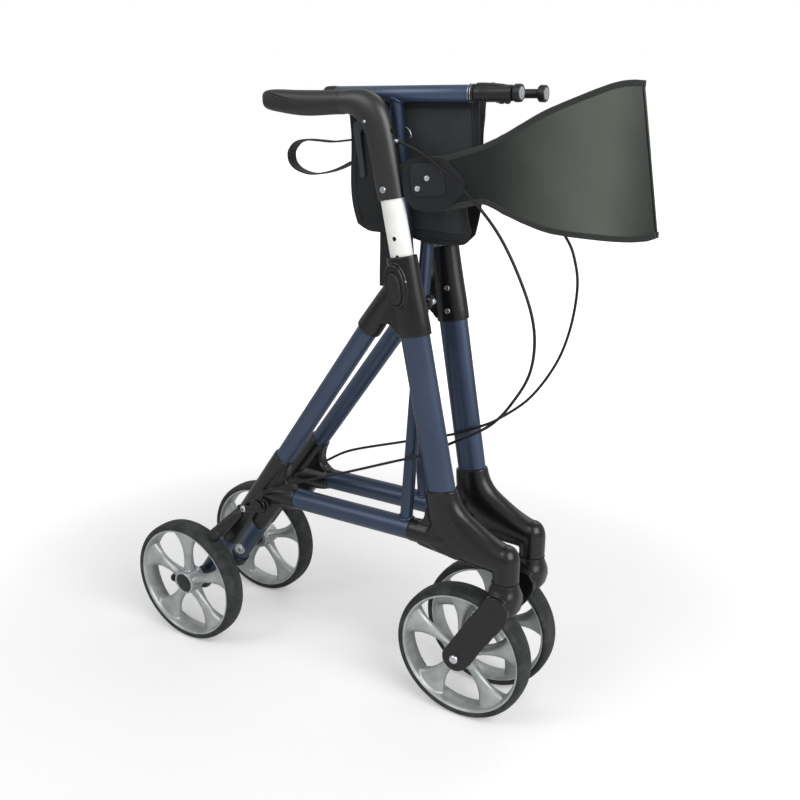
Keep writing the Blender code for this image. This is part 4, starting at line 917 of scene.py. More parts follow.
forkOutline = (arc(chassis["wheelbase"], chassis["axleZ"], forkSet["endRadius"], 160, 322, 14)
               + [(chassis["wheelbase"] + dx, chassis["axleZ"] + dz) for dx, dz in forkSide])
armMiddle = (forkSet["gap"] + forkSet["arm"]) / 2
for way in (1, -1):
    forkParts.append(slab("arm", forkOutline, forkSet["arm"], way * armMiddle, 0.0012))
forkParts.append(rod("stem", (kingpinX, 0, forkTop - 0.004), (kingpinX, 0, 0.2482), 0.0060))
bothSides(cast("fork", forkParts, 0.0009, 3), "forkCrown", casePlastic, "caster", "fork", True)
armFace = 0.0270
headProfile = [(0, armFace + 0.0050), (0.0022, armFace + 0.0049), (0.0042, armFace + 0.0044),
    (0.0058, armFace + 0.0033), (0.0066, armFace + 0.0018), (0.0068, armFace + 0.0003),
    (0.0045, armFace + 0.0003)]
bolt = turned("bolt", headProfile + [(r, -a) for r, a in reversed(headProfile)], axlePlace, yWay, 48)
bothSides(shaded(bolt, 40), "forkAxleBolt", steel, "caster", "front_axle", True)
seal = turned("seal", [(0.0166, 0.2262), (0.0166, 0.2256), (0.0186, 0.2256), (0.0186, 0.2262)],
    (kingpinX, 0, 0), zWay, 48, closed=True)
bothSides(shaded(seal), "kingpinSeal", tyreRubber, "caster", "fork")
print("casters made")


# Brakes

brakeFace = 0.0193
armOutline = arc(brakeX, brakeZ, 0.0110, 200, -20, 14) + arc(0.097, 0.237, 0.0105, -30, -210, 14)
toward = Vector((0.53, 0, 0.848))
padPlace = Vector((0, rearOut - 0.002, chassis["axleZ"])) + toward * 0.1098
padRoot = Vector((0.0925, brakeFace + 0.0050, 0.2330))
padWay = (padPlace - padRoot).normalized()
padFirst, padSecond = waysOf(padWay)
padLength = (padPlace - padRoot).length
barrelRings = (
    (-0.0040, 0.0030), (-0.0036, 0.0046), (0.0004, 0.0062), (0.0024, 0.0074), (0.0120, 0.0078),
    (0.0200, 0.0084),
    (padLength - 0.0120, 0.0098), (padLength - 0.0110, 0.0092), (padLength - 0.0095, 0.0092),
    (padLength - 0.0085, 0.0100), (padLength + 0.0020, 0.0102), (padLength + 0.0038, 0.0094),
    (padLength + 0.0044, 0.0080))
barrel = skin("barrel", [section(padRoot + padWay * along, padFirst, padSecond, r, r) for along,
                         r in barrelRings], 40)
bothSides(shaded(barrel), "brakeBarrel", satinPlastic, "brake", "brake_arm")
lever = slab("arm", armOutline, 0.0060, brakeFace + 0.0030, 0.0012)
stop = rod("stop", (brakeX, brakeFace, brakeZ), (brakeX, brakeFace + 0.0085, brakeZ), 0.0056, 0.001, 32)
rib = slab("rib", [(brakeX - 0.002, brakeZ - 0.003), (brakeX - 0.002, brakeZ + 0.003), (0.100, 0.2425),
    (0.098, 0.2360)], 0.0080, brakeFace + 0.0040, 0.001)
bothSides(cast("arm", [lever, stop, rib], 0.0006, 2), "brakeArmPlate", casePlastic, "brake", "brake_arm",
    True)
armBolt = buttonScrew("bolt", (0.1005, brakeFace + 0.0060, 0.2392), yWay, 0.0052, 0.0034)
bothSides(shaded(armBolt), "brakeArmBolt", steel, "brake", "brake_arm")
pivotCap = turned("cap", [(0, 0.0090), (0.0030, 0.0089), (0.0052, 0.0082), (0.0060, 0.0070),
    (0.0060, 0.0050)], (brakeX, brakeFace, brakeZ), yWay, 32)
bothSides(shaded(outward(pivotCap)), "brakePivotCap", satinPlastic, "brake", "brake_arm")
print("brakes made")


# Handles

handleSet = {"gripZ": 0.8345, "holes": (0.6260, 0.6490, 0.6720)}
telescope = skin("telescope", ovalSections((0.480, 0.600, 0.700, 0.786), 0.0165, 0.0108), 56)
for z in handleSet["holes"]:
    carved(telescope, rod("hole", frontPoint(z, v=0.0094), frontPoint(z, v=0.03), 0.0030, 0.0001, 24))
bothSides(shaded(telescope), "telescopicTubePale", paleTube, "handle", "telescopic_tube", True)
holes = [rod("hole", frontPoint(z, v=0.0060), frontPoint(z, v=0.0098), 0.0029, 0.0001, 24)
    for z in handleSet["holes"]]
bothSides(merged("holes", holes), "heightHoleShade", paintedHoleShade, "handle", "telescopic_tube")
# painted shade: a thin dark rod along the tube's rear, in the hole-shade finish
rearLineShade = skin("rearLineShade", [section(frontPoint(z, depth=-0.0130, v=0.0066), frontDepthWay, yWay, 0.0007,
    0.0007) for z in (0.4900, 0.7190)], 12)
bothSides(rearLineShade, "telescopeRearLineShade", paintedHoleShade, "handle", "telescopic_tube")

shellStations = []
for z, deep, wide in ((0.7195, 0.0178, 0.0120), (0.7201, 0.0184, 0.0126), (0.742, 0.0190, 0.0134),
        (0.765, 0.0196, 0.0145), (0.792, 0.0198, 0.0150)):
    base = frontPoint(z)
    shellStations.append((base.x, base.z, atan(chassis["frontRake"]), deep, wide))
shellStations += [(0.3455, 0.8110, 0.36, 0.0202, 0.0155), (0.3375, 0.8235, 0.72, 0.0205, 0.0158),
    (0.3240, 0.8320, 1.12, 0.0185, 0.0158), (0.3080, 0.8350, 1.42, 0.0152, 0.0156),
    (0.296, 0.8345, pi / 2, 0.0145, 0.0154)]
shellStations = shellStations[:2] + eased(shellStations[1:], 4)[1:]
shell = skin("shell", bentRings(shellStations), 56)
pinX, pinZ = 0.3275, 0.8120
leverSlot = slab("slot", [(pinX + 0.0095, pinZ + 0.0060), (pinX - 0.0030, pinZ + 0.0122),
    (pinX - 0.0180, pinZ + 0.0125), (pinX - 0.0300, pinZ + 0.0095), (pinX - 0.0300, pinZ - 0.0350),
    (pinX + 0.0060, pinZ - 0.0350)], 0.0092, 0.0, 0)
carved(shell, leverSlot)
bothSides(shaded(shell, 40), "handleHousingShell", housingPlastic, "handle", "handle_housing", True)

gripStations = ((0.2957, 0.0, 0.0145, 0.0154, 2.2), (0.2950, 0.0, 0.0147, 0.0156, 2.2),
    (0.282, -0.0002, 0.0147, 0.0158, 2.3), (0.262, -0.0008, 0.0152, 0.0162, 2.4),
    (0.242, -0.0010, 0.0156, 0.0165, 2.5), (0.222, -0.0002, 0.0152, 0.0165, 2.8),
    (0.202, 0.0016, 0.0142, 0.0162, 3.2), (0.190, 0.0025, 0.0132, 0.0155, 3.3),
    (0.1825, 0.0030, 0.0118, 0.0142, 3.2), (0.1782, 0.0032, 0.0098, 0.0118, 3.0),
    (0.1765, 0.0032, 0.0066, 0.0080, 2.6), (0.1762, 0.0032, 0.0030, 0.0040, 2.2))
gripModel = skin("grip", [section((x, 0, handleSet["gripZ"] + rise), zWay, yWay, high, wide, square)
    for x, rise, high, wide, square in gripStations[:1] + tuple(eased(gripStations[1:], 4))], 56)
creaseStations = (           # x, v, z, radius
    (0.1790, 0.0128, 0.8478, 0.0006), (0.185, 0.0146, 0.8462, 0.0014), (0.196, 0.0160, 0.8434, 0.0020),
    (0.210, 0.0168, 0.8402, 0.0021), (0.224, 0.0172, 0.8368, 0.0015), (0.241, 0.0174, 0.8322, 0.0003))
crease = skin("crease", [section((x, v, z), zWay, yWay, r, r * 1.2) for x, v, z,
                         r in eased(creaseStations, 4)], 16)
carved(gripModel, crease)
bothSides(shaded(gripModel, 40), "gripSleeve", softGrip, "handle", "grip", True)
leverRear = ((-0.0140, -0.0016), (-0.0156, -0.0070), (-0.0150, -0.0160), (-0.0134, -0.0270),
             (-0.0116, -0.0370),
             (-0.0097, -0.0470))
leverFront = ((-0.0016, -0.0520), (-0.0028, -0.0400), (-0.0046, -0.0240), (-0.0050, -0.0130),
              (0.0010, -0.0066),
              (0.0050, -0.0035))
leverOutline = (arc(pinX, pinZ, 0.0062, 60, 150, 9) + [(pinX + dx, pinZ + dz) for dx, dz in leverRear]
                + arc(pinX - 0.0040, pinZ - 0.0640, 0.0036, 200, 340, 8)
                + [(pinX + dx, pinZ + dz) for dx, dz in leverFront])
leverBlade = slab("blade", leverOutline, 0.0080, 0.0, 0.0022, 4)
bothSides(shaded(leverBlade), "brakeLeverBlade", leverGrey, "lever", "brake_lever", True)
rivet = turned("rivet", [(0, 0.0070), (0.0020, 0.0070), (0.0020, 0.0156), (0.0014, 0.0162), (0, 0.0164)],
    (pinX + 0.0085, 0, pinZ), yWay, 24)
bothSides(shaded(rivet), "leverPinEnd", steel, "handle", "handle_housing")
sleeveScrew = crossScrew("screw", (0.3590, 0.0126, 0.7316), yWay, 0.0042, 0.0020)
bothSides(shaded(sleeveScrew), "sleeveScrew", zinc, "handle", "handle_housing")
# painted shade: a dark cup inside the housing's cable slot
slotShadeCup = turned("hole", [(0, 0), (0.0032, 0), (0.0032, 0.0080), (0.0026, 0.0086), (0, 0.0086)],
    (0.3620, 0.0035, 0.8000), (1, 0.0, 0.181), 24)
bothSides(shaded(slotShadeCup), "cableSlotShade", paintedHoleShade, "handle", "handle_housing")

bracketSet = {"hingeX": 0.3860, "footZ": 0.7290, "topZ": 0.7650}
hingeX = bracketSet["hingeX"]
knuckle = rod("knuckle", (hingeX, 0, bracketSet["footZ"]), (hingeX, 0, bracketSet["topZ"]), 0.0034, 0.0006,
    24)
bracketArm = slab("arm", [(frontPoint(0.762).x + 0.0150, 0.762), (hingeX, 0.762), (hingeX, 0.732),
    (frontPoint(0.732).x + 0.0150, 0.732)], 0.0042, 0, 0.0008)
bothSides(cast("bracket", [knuckle, bracketArm], 0.0005, 2), "backrestBracketHinge", casePlastic, "handle",
    "backrest_bracket", True)
print("handles made")


# Backrest band, one half to each handle, folded in the middle plane

bandSet = {
    "thick": 0.0030,
    "tape": 0.0036,          # half height of the bound edge
    "tapeThick": 0.0020,     # half thickness of the bound edge
    "foldX": 0.6510,
    "foldZ": 0.8545,
    "foldRake": 0.174,
    "crown": 0.0040,
    "start": 0.0133,         # share at which the cloth leaves the hinge
    "reach": 0.2855,         # hinge to fold, along X
    "edges": (               # share of the way to the fold, lower edge, upper edge
        (0.0133, 0.7240, 0.7580), (0.035, 0.7120, 0.7660), (0.070, 0.7080, 0.7710), (0.120, 0.7080, 0.7720),
        (0.170, 0.7095, 0.7725), (0.250, 0.7140, 0.7790), (0.335, 0.7185, 0.7860), (0.375, 0.7150, 0.7910),
        (0.420, 0.7080, 0.7970), (0.500, 0.6980, 0.8090), (0.590, 0.6890, 0.8225), (0.670, 0.6855, 0.8320),
        (0.750, 0.6835, 0.8405), (0.830, 0.6820, 0.8485), (0.910, 0.6820, 0.8550), (0.970, 0.6840, 0.8568),
        (1.000, 0.6870, 0.8563)),
}
hingeY = frameY(1, 0, bracketSet["footZ"] + 0.018)
bandTipY = 0.0049


def bandEdge(share):
    rows = bandSet["edges"]
    for i in range(len(rows) - 1):
        if share <= rows[i + 1][0]:
            break
    t = (share - rows[i][0]) / (rows[i + 1][0] - rows[i][0])
    four = [rows[min(max(j, 0), len(rows) - 1)] for j in (i - 1, i, i + 1, i + 2)]
    return [between(*(row[k] for row in four), max(0.0, min(1.0, t))) for k in (1, 2)]


def bandPlace(share, z, off=0.0):
    reach = Vector((bandSet["foldX"] + bandSet["foldRake"] * (bandSet["foldZ"] - z) - hingeX,
        bandTipY - hingeY, 0))
    across = Vector((-reach.y, reach.x, 0)).normalized()
    ripple = 0.0006 * sin(share * 23 + z * 60) * sin(pi * share)
    lift = bandSet["crown"] * sin(pi * share) + ripple + off
    return Vector((hingeX, hingeY, z)) + reach * share + across * lift, across


letGo()
bpy.ops.mesh.primitive_grid_add(x_subdivisions=90, y_subdivisions=36, size=2)
bandModel = bpy.context.object
for vertex in bandModel.data.vertices:
    share = bandSet["start"] + (1.0 - bandSet["start"]) * (vertex.co.x + 1) / 2
    low, high = bandEdge(share)
    z = low + 0.001 + (high - low - 0.002) * (vertex.co.y + 1) / 2
    vertex.co = bandPlace(share, z)[0]
thicken(bandModel, bandSet["thick"])
applyAll(bandModel)
shaded(outward(bandModel), 50)


def bandTapeAlong(name, which):
    rings = []
    count = 90
    for i in range(count + 1):
        share = 0.0160 + (1.0040 - 0.0160) * i / count
        inset = bandSet["tape"] - 0.0006
        edge = bandEdge(share)[which]
        place, across = bandPlace(share, edge + (inset if which == 0 else -inset))
        ahead = bandPlace(share + 0.0005, bandEdge(share + 0.0005)[which])[0]
        way = ahead - bandPlace(share, edge)[0]
        rings.append(section(place, across.cross(way).normalized(), across, bandSet["tape"],
            bandSet["tapeThick"], 4.5))
    return skin(name, rings, 28)


def onBand(model, label, finish, main=False):
    return bothSides(model, label, finish, "backrest", "backrest_half", main, False)


bands = onBand(bandModel, "backrestBand", bandCloth, True)
tapes = merged("tapes", [bandTapeAlong("low", 0), bandTapeAlong("high", 1)])
hems = onBand(shaded(tapes, 50), "backrestBinding", bandTape)


def stitchRow(spots, long=0.0022, wide=0.00045):
    # one stitch is modelled as a small lozenge, and its copies are laid along the seam
    first = skin("stitch", [section((0, 0, long * share), xWay, yWay, wide * size, wide * size)
        for share, size in ((-0.5, 0.35), (-0.3, 1.0), (0.3, 1.0), (0.5, 0.35))], 4)
    row = []
    for here, there, out in spots:
        way = (there - here).normalized()
        side = out.cross(way).normalized()
        stitch = twin(first)
        for vertex in stitch.data.vertices:
            vertex.co = here + side * vertex.co.x + out * vertex.co.y + way * vertex.co.z
        row.append(stitch)
    bpy.data.objects.remove(first)
    return outward(merged("seam", row))


def bandStitches(which, off):
    spots = []
    inset = (2 * bandSet["tape"] - 0.0020) * (1 if which == 0 else -1)
    for i in range(84):
        share = 0.0300 + 0.9500 * i / 83
        here, across = bandPlace(share, bandEdge(share)[which] + inset, off)
        there = bandPlace(share + 0.001, bandEdge(share + 0.001)[which] + inset, off)[0]
        spots.append((here, there, across * (1 if off > 0 else -1)))
    return stitchRow(spots)


bandSeams = merged("seams", [bandStitches(which, off) for which in (0, 1) for off in (0.0024, -0.0024)])
onBand(bandSeams, "backrestStitching", thread)


def bandPad(name, outline, off, thick, edge=0.0012):
    # a plate on the band's face, drawn in (x, z); it clears the hinge's knuckle at its rear end
    plate = slab(name, outline, thick, 0.0, edge, 4)
    for vertex in plate.data.vertices:
        share = (vertex.co.x - hingeX) / bandSet["reach"]
        lift = off + vertex.co.y
        if vertex.co.x < 0.3912 and vertex.co.y * off < 0:
            lift = (0.0040 if off > 0 else -0.0040) + vertex.co.y * 0.2
        vertex.co = bandPlace(share, vertex.co.z, lift)[0]
    return plate


hingePatch = (arc(0.3960, 0.7560, 0.0140, 180, 98, 10)
              + [(0.4120, 0.7712), (0.4320, 0.7716), (0.4370, 0.7690)]
              + arc(0.4420, 0.7400, 0.0180, 60, -50, 8)
              + [(0.4380, 0.7104), (0.4300, 0.7080), (0.4120, 0.7078)]
              # the lower rear corner clears the junction's top when the handle is down
              + [(0.4000, 0.7083), (0.3955, 0.7098), (0.3922, 0.7125), (0.3900, 0.7160), (0.3880, 0.7195),
                 (0.3850, 0.7230), (0.3828, 0.7280), (0.3820, 0.7340)])
for label, off, rear in (("Outer", 0.0031, 0.3820), ("Inner", -0.0031, 0.3864)):
    # the inner patch starts ahead of the pin, where it swings clear of the bracket
    outline = [(max(x, rear + 0.0001 * i / len(hingePatch)), z) for i, (x, z) in enumerate(hingePatch)]
    onBand(shaded(bandPad("patch", outline, off, 0.0030, 0.0010), 40), "backrestHinge" + label, patchCloth)
padOutline = (arc(0.4245, 0.7575, 0.0075, 90, 0, 6) + arc(0.4285, 0.7345, 0.0085, 0, -90, 6)
    + arc(0.4015, 0.7330, 0.0085, -90, -180, 6) + arc(0.3990, 0.7570, 0.0075, 180, 90, 6))
pad = shaded(bandPad("pad", padOutline, 0.0050, 0.0026), 40)
onBand(pad, "backrestPad", padPlastic)
for label, x, z in (("Upper", 0.4140, 0.7470), ("Lower", 0.4020, 0.7345)):
    place, across = bandPlace((x - hingeX) / bandSet["reach"], z, 0.0062)
    onBand(shaded(buttonScrew("screw", place, across, 0.0040, 0.0028, 0.25)), "backrestScrew" + label, steel)
print("backrest made")


# Brake cables, held at the housing and at the brake arm

cableSet = {"radius": 0.0019, "blendFoot": 0.50, "blendTop": 0.74}
cableRoutes = {
    "near": ((0.3726, -0.0612, 0.7895), (0.388, -0.063, 0.785), (0.414, -0.065, 0.774),
             (0.461, -0.065, 0.741),
             (0.511, -0.064, 0.690), (0.546, -0.064, 0.630), (0.563, -0.063, 0.578), (0.560, -0.060, 0.528),
             (0.539, -0.056, 0.486), (0.503, -0.047, 0.443), (0.441, -0.0315, 0.402), (0.412, -0.031, 0.386),
             (0.388, -0.043, 0.374), (0.366, -0.045, 0.366), (0.281, -0.055, 0.333), (0.202, -0.0665, 0.304),
             (0.153, -0.0695, 0.281), (0.1345, -0.0705, 0.268)),
    "far": ((0.3726, 0.0612, 0.7895), (0.388, 0.063, 0.785), (0.414, 0.066, 0.774), (0.461, 0.068, 0.745),
            (0.508, 0.068, 0.712), (0.547, 0.068, 0.670), (0.561, 0.068, 0.640), (0.566, 0.068, 0.604),
            (0.560, 0.066, 0.551), (0.544, 0.062, 0.502), (0.513, 0.054, 0.453), (0.474, 0.042, 0.420),
            (0.446, 0.0325, 0.405), (0.408, 0.031, 0.388), (0.380, 0.037, 0.378), (0.354, 0.046, 0.368),
            (0.321, 0.048, 0.355), (0.216, 0.0605, 0.316), (0.162, 0.0690, 0.285), (0.1345, 0.0705, 0.268)),
}
for way, route in cableRoutes.items():
    line = smooth([Vector(point) for point in route], 8)
    cable = shaded(tubeAlong(way + "_brakeCableSleeve", line, cableSet["radius"], 4), 60)
    for vertex in cable.data.vertices:
        vertex.co.x += rearX
    cable.data.materials.clear()
    cable.data.materials.append(cableSkin.material)
    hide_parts(way + "_brake_cable")
    side = sides[way]
    way + "_frame"
    way + "_handle"
    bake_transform(cable)
    start = line[0]
    leave = (line[3] - line[0]).normalized()
    ferrule = turned(way + "_cableFerrule", [(0, -0.0040), (0.0026, -0.0040), (0.0026, 0.0014),
        (0.0024, 0.0020), (0.0020, 0.0032), (0, 0.0032)], start, leave, 32)
    inMiddle(shaded(ferrule), zinc, way + "_handle")
    tail = line[-1]
    enter = (line[-1] - line[-4]).normalized()
    collar = turned(way + "_cableEndCollar", [(0, -0.0120), (0.0024, -0.0120), (0.0028, -0.0110),
        (0.0028, 0.0020), (0.0022, 0.0060), (0.0012, 0.0066), (0, 0.0066)], tail, enter, 32)
    inMiddle(shaded(collar), satinPlastic, way + "_frame")
print("cables made")


# Cross brace. Drawn for the far half, whose rail is on the far side, and mirrored for the near half.

braceSet = {
    "railRadius": 0.0155, "railRear": 0.1880, "railFront": 0.3855, "spigot": 0.0100, "spigotLength": 0.0160,
    "legRadius": 0.0090, "legX": {"near": 0.3762, "far": 0.3568},
    "tubeRadius": 0.0098, "tubeRear": 0.2700, "tubeFront": 0.4580,
}
otherSide = {"near": "far", "far": "near"}
for way, side in sides.items():
    railY = side * chassis["halfGap"]
    legX = braceSet["legX"][way]
    seatY = -side * seatTubeGap
    railZ = chassis["railZ"]
    seatZ = chassis["seatTubeZ"]
    rear, front, deep = braceSet["railRear"], braceSet["railFront"], braceSet["spigotLength"]
    radius, spigot = braceSet["railRadius"], braceSet["spigot"]
    railRings = ((rear - deep, 0.0094), (rear - 0.0150, spigot), (rear - 0.0001, spigot), (rear, 0.0150),
                 (rear + 0.0006, radius), (0.28, radius), (front - 0.0006, radius), (front, 0.0150),
                 (front + 0.0001, spigot), (front + 0.0150, spigot), (front + deep, 0.0094))
    rail = skin(way + "_railTube", barRings(railY, railZ, railRings), 56)
    inMiddle(shaded(rail), braceBlueShaded, way + "_brace", [way + "_rail"])
    foot = Vector((legX, railY, railZ))
    head = Vector((legX, seatY, seatZ))
    legWay = (head - foot).normalized()
    first, second = waysOf(legWay)
    length = (head - foot).length
    legRadius = braceSet["legRadius"]
    leg = skin(way + "_legTube", [section(foot + legWay * along, first, second, legRadius, legRadius)
                                  for along in (0.0100, 0.15, 0.30, 0.45, length - 0.0045)], 44)
    inMiddle(shaded(leg), braceBlueShaded, way + "_brace", [way + "_leg"])
    for label, centre, bar, rise in (("Foot", foot, braceSet["railRadius"], 1),
            ("Head", head, braceSet["tubeRadius"], -1)):
        ring = []
        for i in range(48):
            turn = 2 * pi * i / 48
            lift = bar * 0.9
            for again in range(3):
                middle = centre + legWay * lift * rise
                across = (middle.y - centre.y) + (legRadius + 0.0004) * sin(turn)
                lift = sqrt(max(bar ** 2 - across ** 2, 0.0))
            wobble = 0.00018 * sin(turn * 13) + 0.00012 * sin(turn * 7 + 1)
            out = (legRadius + 0.0006 + wobble) * cos(turn)
            ring.append(Vector((centre.x + out, centre.y + across, centre.z + rise * (lift + 0.0006))))
        bead = shaded(tubeAlong(way + "_weld" + label, ring, 0.0024 if rise > 0 else 0.0018, 4, True), 60)
        inMiddle(bead, braceBlueShaded, way + "_brace")
    other = otherSide[way]
    seatPlace = (0, seatY, seatZ)
    rear, front, radius = braceSet["tubeRear"], braceSet["tubeFront"], braceSet["tubeRadius"]
    tubeRings = ((rear, 0.0094), (rear + 0.0006, radius), (0.36, radius), (front - 0.0006, radius),
                 (front, 0.0094))
    tube = skin(other + "_seatTubeRound", barRings(seatY, seatZ, tubeRings), 48)
    inMiddle(shaded(tube), seatBlueLit, way + "_brace", [other + "_seat_tube"])
    cap = turned(other + "_seatTubeCap", [(0, 0.2520), (0.0062, 0.2521), (0.0086, 0.2528), (0.0098, 0.2546),
        (0.0102, 0.2580), (0.0102, 0.2694), (0.0098, 0.2700), (0, 0.2700)], seatPlace, xWay, 48)
    inMiddle(shaded(cap, 40), satinPlastic, way + "_brace")
    plug = turned(other + "_seatPlugNeck", [(0, 0.5230), (0.0074, 0.5230), (0.0078, 0.5238),
        (0.0092, 0.5238), (0.0100, 0.5230), (0.0101, 0.5222), (0.0101, 0.5166), (0.0097, 0.5158),
        (0.0089, 0.5150), (0.0066, 0.5142), (0.0058, 0.5134), (0.0055, 0.5120), (0.0055, 0.4656),
        (0.0100, 0.4650), (0.0106, 0.4642), (0.0106, 0.4592), (0.0100, 0.4583), (0.0077, 0.4583),
        (0.0077, 0.4390), (0, 0.4390)], seatPlace, xWay, 56)
    inMiddle(shaded(plug, 40), satinPlastic, way + "_brace", [other + "_seat_plug"])
    disc = turned(other + "_seatPlugDisc", [(0, 0.5236), (0.0030, 0.5236), (0.0032, 0.5241),
        (0.0070, 0.5240), (0.0074, 0.5232), (0.0074, 0.5220), (0, 0.5220)], seatPlace, xWay, 48)
    inMiddle(shaded(disc, 40), hubSilver, way + "_brace")
    for number, x in enumerate((0.4594, 0.4624)):
        band = turned(other + "_plugBand" + str(number), [(0.0100, x - 0.0004), (0.0106, x - 0.0004),
            (0.0109, x - 0.0002), (0.0109, x + 0.0002), (0.0106, x + 0.0004), (0.0100, x + 0.0004)],
            seatPlace, xWay, 48, closed=True)
        inMiddle(shaded(band, 40), zinc, way + "_brace")

boss = turned("bracePivotBoss", [(0, 0.3915), (0.0050, 0.3915), (0.0074, 0.3908), (0.0082, 0.3896),
    (0.0082, 0.3856), (0.0040, 0.3855), (0.0040, 0.3475), (0.0070, 0.3475), (0.0074, 0.3470),
    (0.0074, 0.3436), (0.0066, 0.3428), (0, 0.3428)], (0, 0, chassis["pivotZ"]), xWay, 48)
inMiddle(shaded(boss, 30), casePlastic, "near_brace", ["brace_pivot_bolt"])
pivotHead = buttonScrew("bracePivotBoltHead", (0.3914, 0, chassis["pivotZ"]), xWay, 0.0042, 0.0036, 0.4)
inMiddle(shaded(pivotHead), zinc, "near_brace")

latchSet = {"rear": 0.4653, "front": 0.5133, "bore": 0.0058, "wide": 0.0130}
latchY = -seatTubeGap
latchZ = chassis["seatTubeZ"]
latchRear, latchFront = latchSet["rear"], latchSet["front"]
latchPlace = (0, latchY, latchZ)
latchBarrel = [(0, latchFront), (0.0080, latchFront), (0.0091, latchFront - 0.0010),
               (0.0091, latchRear + 0.0008),
               (0.0084, latchRear), (0, latchRear)]
latchWedge = [(latchRear + 0.0020, latchZ + 0.0020), (latchFront - 0.0020, latchZ + 0.0020),
              (latchFront - 0.0022, latchZ + 0.0076), (latchFront - 0.0060, latchZ + 0.0088),
              (latchFront - 0.0160, latchZ + 0.0104), (latchRear + 0.0130, latchZ + 0.0117),
              (latchRear + 0.0050, latchZ + 0.0117), (latchRear + 0.0024, latchZ + 0.0106)]
latchParts = [turned("barrel", latchBarrel, latchPlace, xWay, 48),
              slab("wedge", latchWedge, latchSet["wide"], latchY, 0.0016)]
for x in (latchFront - 0.0145, latchFront - 0.0070):
    latchParts.append(rod("bump", (x, latchY - 0.0042, latchZ - 0.0093),
        (x, latchY + 0.0042, latchZ - 0.0093), 0.0028, 0.0008, 20))
for x in (latchRear + 0.0110, latchRear + 0.0165):
    latchParts.append(turned("rib", [(0, x - 0.0012), (0.0094, x - 0.0012), (0.0097, x),
        (0.0094, x + 0.0012), (0, x + 0.0012)], latchPlace, xWay, 40))
latch = cast("seatLatchBody", latchParts, 0.0006, 2)
carved(latch, rod("bore", (latchRear - 0.01, latchY, latchZ), (latchFront + 0.01, latchY, latchZ),
    latchSet["bore"], 0.0001, 40))
inMiddle(shaded(latch, 40), satinPlastic, "latch", ["seat_latch"])
latchScrew = crossScrew("latchScrew", (0.4880, latchY, latchZ + 0.0106), (0.07, 0, 1), 0.0030, 0.0012)
inMiddle(shaded(latchScrew), steel, "latch")

hookPoints = smooth([Vector(point) for point in ((0.3640, -0.0285, 0.8052), (0.3668, -0.0305, 0.8052),
    (0.3705, -0.0312, 0.8035), (0.3735, -0.0312, 0.8002), (0.3750, -0.0308, 0.7955),
    (0.3745, -0.0300, 0.7925))], 5)
hook = shaded(tubeAlong("far_legWireHook", hookPoints, 0.0009, 3), 60)
inMiddle(hook, zinc, "far_brace")
print("brace made")


# Seat cloth: two halves that hang from the seat tubes, and meet at the bottom of the U

seatSet = {"rear": 0.2790, "front": 0.4640, "drop": 0.1740, "top": 0.0085, "thick": 0.0014, "hem": 0.0100}
legSide = seatTubeGap - braceSet["legRadius"] - 0.0007 - seatSet["thick"] / 2


def seatMiddle(x, drop):
    # how far the far half's middle surface is from the middle plane
    low = max(0.0, drop / seatSet["drop"] - 0.25) / 0.75
    room = 0.0
    rearStop = braceSet["legX"]["far"] - braceSet["legRadius"] - 0.006
    frontStop = braceSet["legX"]["near"] + braceSet["legRadius"] + 0.006
    if x <= rearStop:
        room = min(1.0, (rearStop - x) / 0.030)
    elif x >= frontStop:
        room = min(1.0, (x - frontStop) / 0.030)
    free = 0.5 - 0.5 * cos(pi * room)
    swell = 0.0125 * sin(pi * min(1.0, low) ** 1.5) * free
    ripple = 0.0010 * sin(pi * drop / seatSet["drop"]) * sin((x - seatSet["rear"]) * 90) * free
    # a soft diagonal crease across the front, and two short ones under it
    fold = 0.0
    for x0, d0, x1, d1, deep, wide in ((0.4560, 0.018, 0.3985, 0.076, 0.0016, 0.0050),
            (0.4540, 0.105, 0.4150, 0.128, 0.0009, 0.0040), (0.3380, 0.030, 0.2900, 0.092, 0.0010, 0.0050)):
        alongX, alongD = x1 - x0, d1 - d0
        span = hypot(alongX, alongD)
        t = ((x - x0) * alongX + (drop - d0) * alongD) / span ** 2
        off = ((x - x0) * -alongD + (drop - d0) * alongX) / span
        end = max(0.0, min(1.0, 1.15 - abs(2 * t - 1)))
        fold += deep * end * 2.718 ** (-(off / wide) ** 2)
    return legSide - braceTilt * drop + swell + ripple + fold * free


def seatFront(way, share):
    # the near half's front edge steps back under the backrest, and the far half's lies behind it
    if way == "far":
        return 0.4495
    step = max(0.0, min(1.0, (share - 0.42) / 0.25))
    return seatSet["front"] - 0.0150 * step * step * (3 - 2 * step)


def seatPoint(way, whole, share, off=0.0):
    # whole runs from the rear edge to the front one, share from the tube to the bottom
    x = seatSet["rear"] + (seatFront(way, share) - seatSet["rear"]) * whole
    rearLift = 0.010 * max(0.0, 1 - whole / 0.12) ** 2
    frontLift = 0.013 * max(0.0, 1 - (1 - whole) / 0.10) ** 2
    sag = 0.0060 * sin(pi * max(0.0, min(1.0, (whole - 0.42) / 0.54))) if way == "far" else 0.0
    bottom = seatSet["drop"] + (0.0055 if way == "near" else 0.0085) * whole + sag - rearLift - frontLift
    drop = seatSet["top"] + (bottom - seatSet["top"]) * share
    return Vector((x, seatMiddle(x, drop) + off, seatZ - drop))


def seatPatch(way, low, high, lowShare, highShare, columns, rows, thick):
    letGo()
    bpy.ops.mesh.primitive_grid_add(x_subdivisions=columns, y_subdivisions=rows, size=2)
    patch = bpy.context.object
    for vertex in patch.data.vertices:
        whole = low + (high - low) * (vertex.co.x + 1) / 2
        vertex.co = seatPoint(way, whole, lowShare + (highShare - lowShare) * (1 - vertex.co.y) / 2)
    thicken(patch, thick)
    softEdge(patch, thick * 0.3, 2, 60)
    applyAll(patch)
    return shaded(outward(patch), 50)


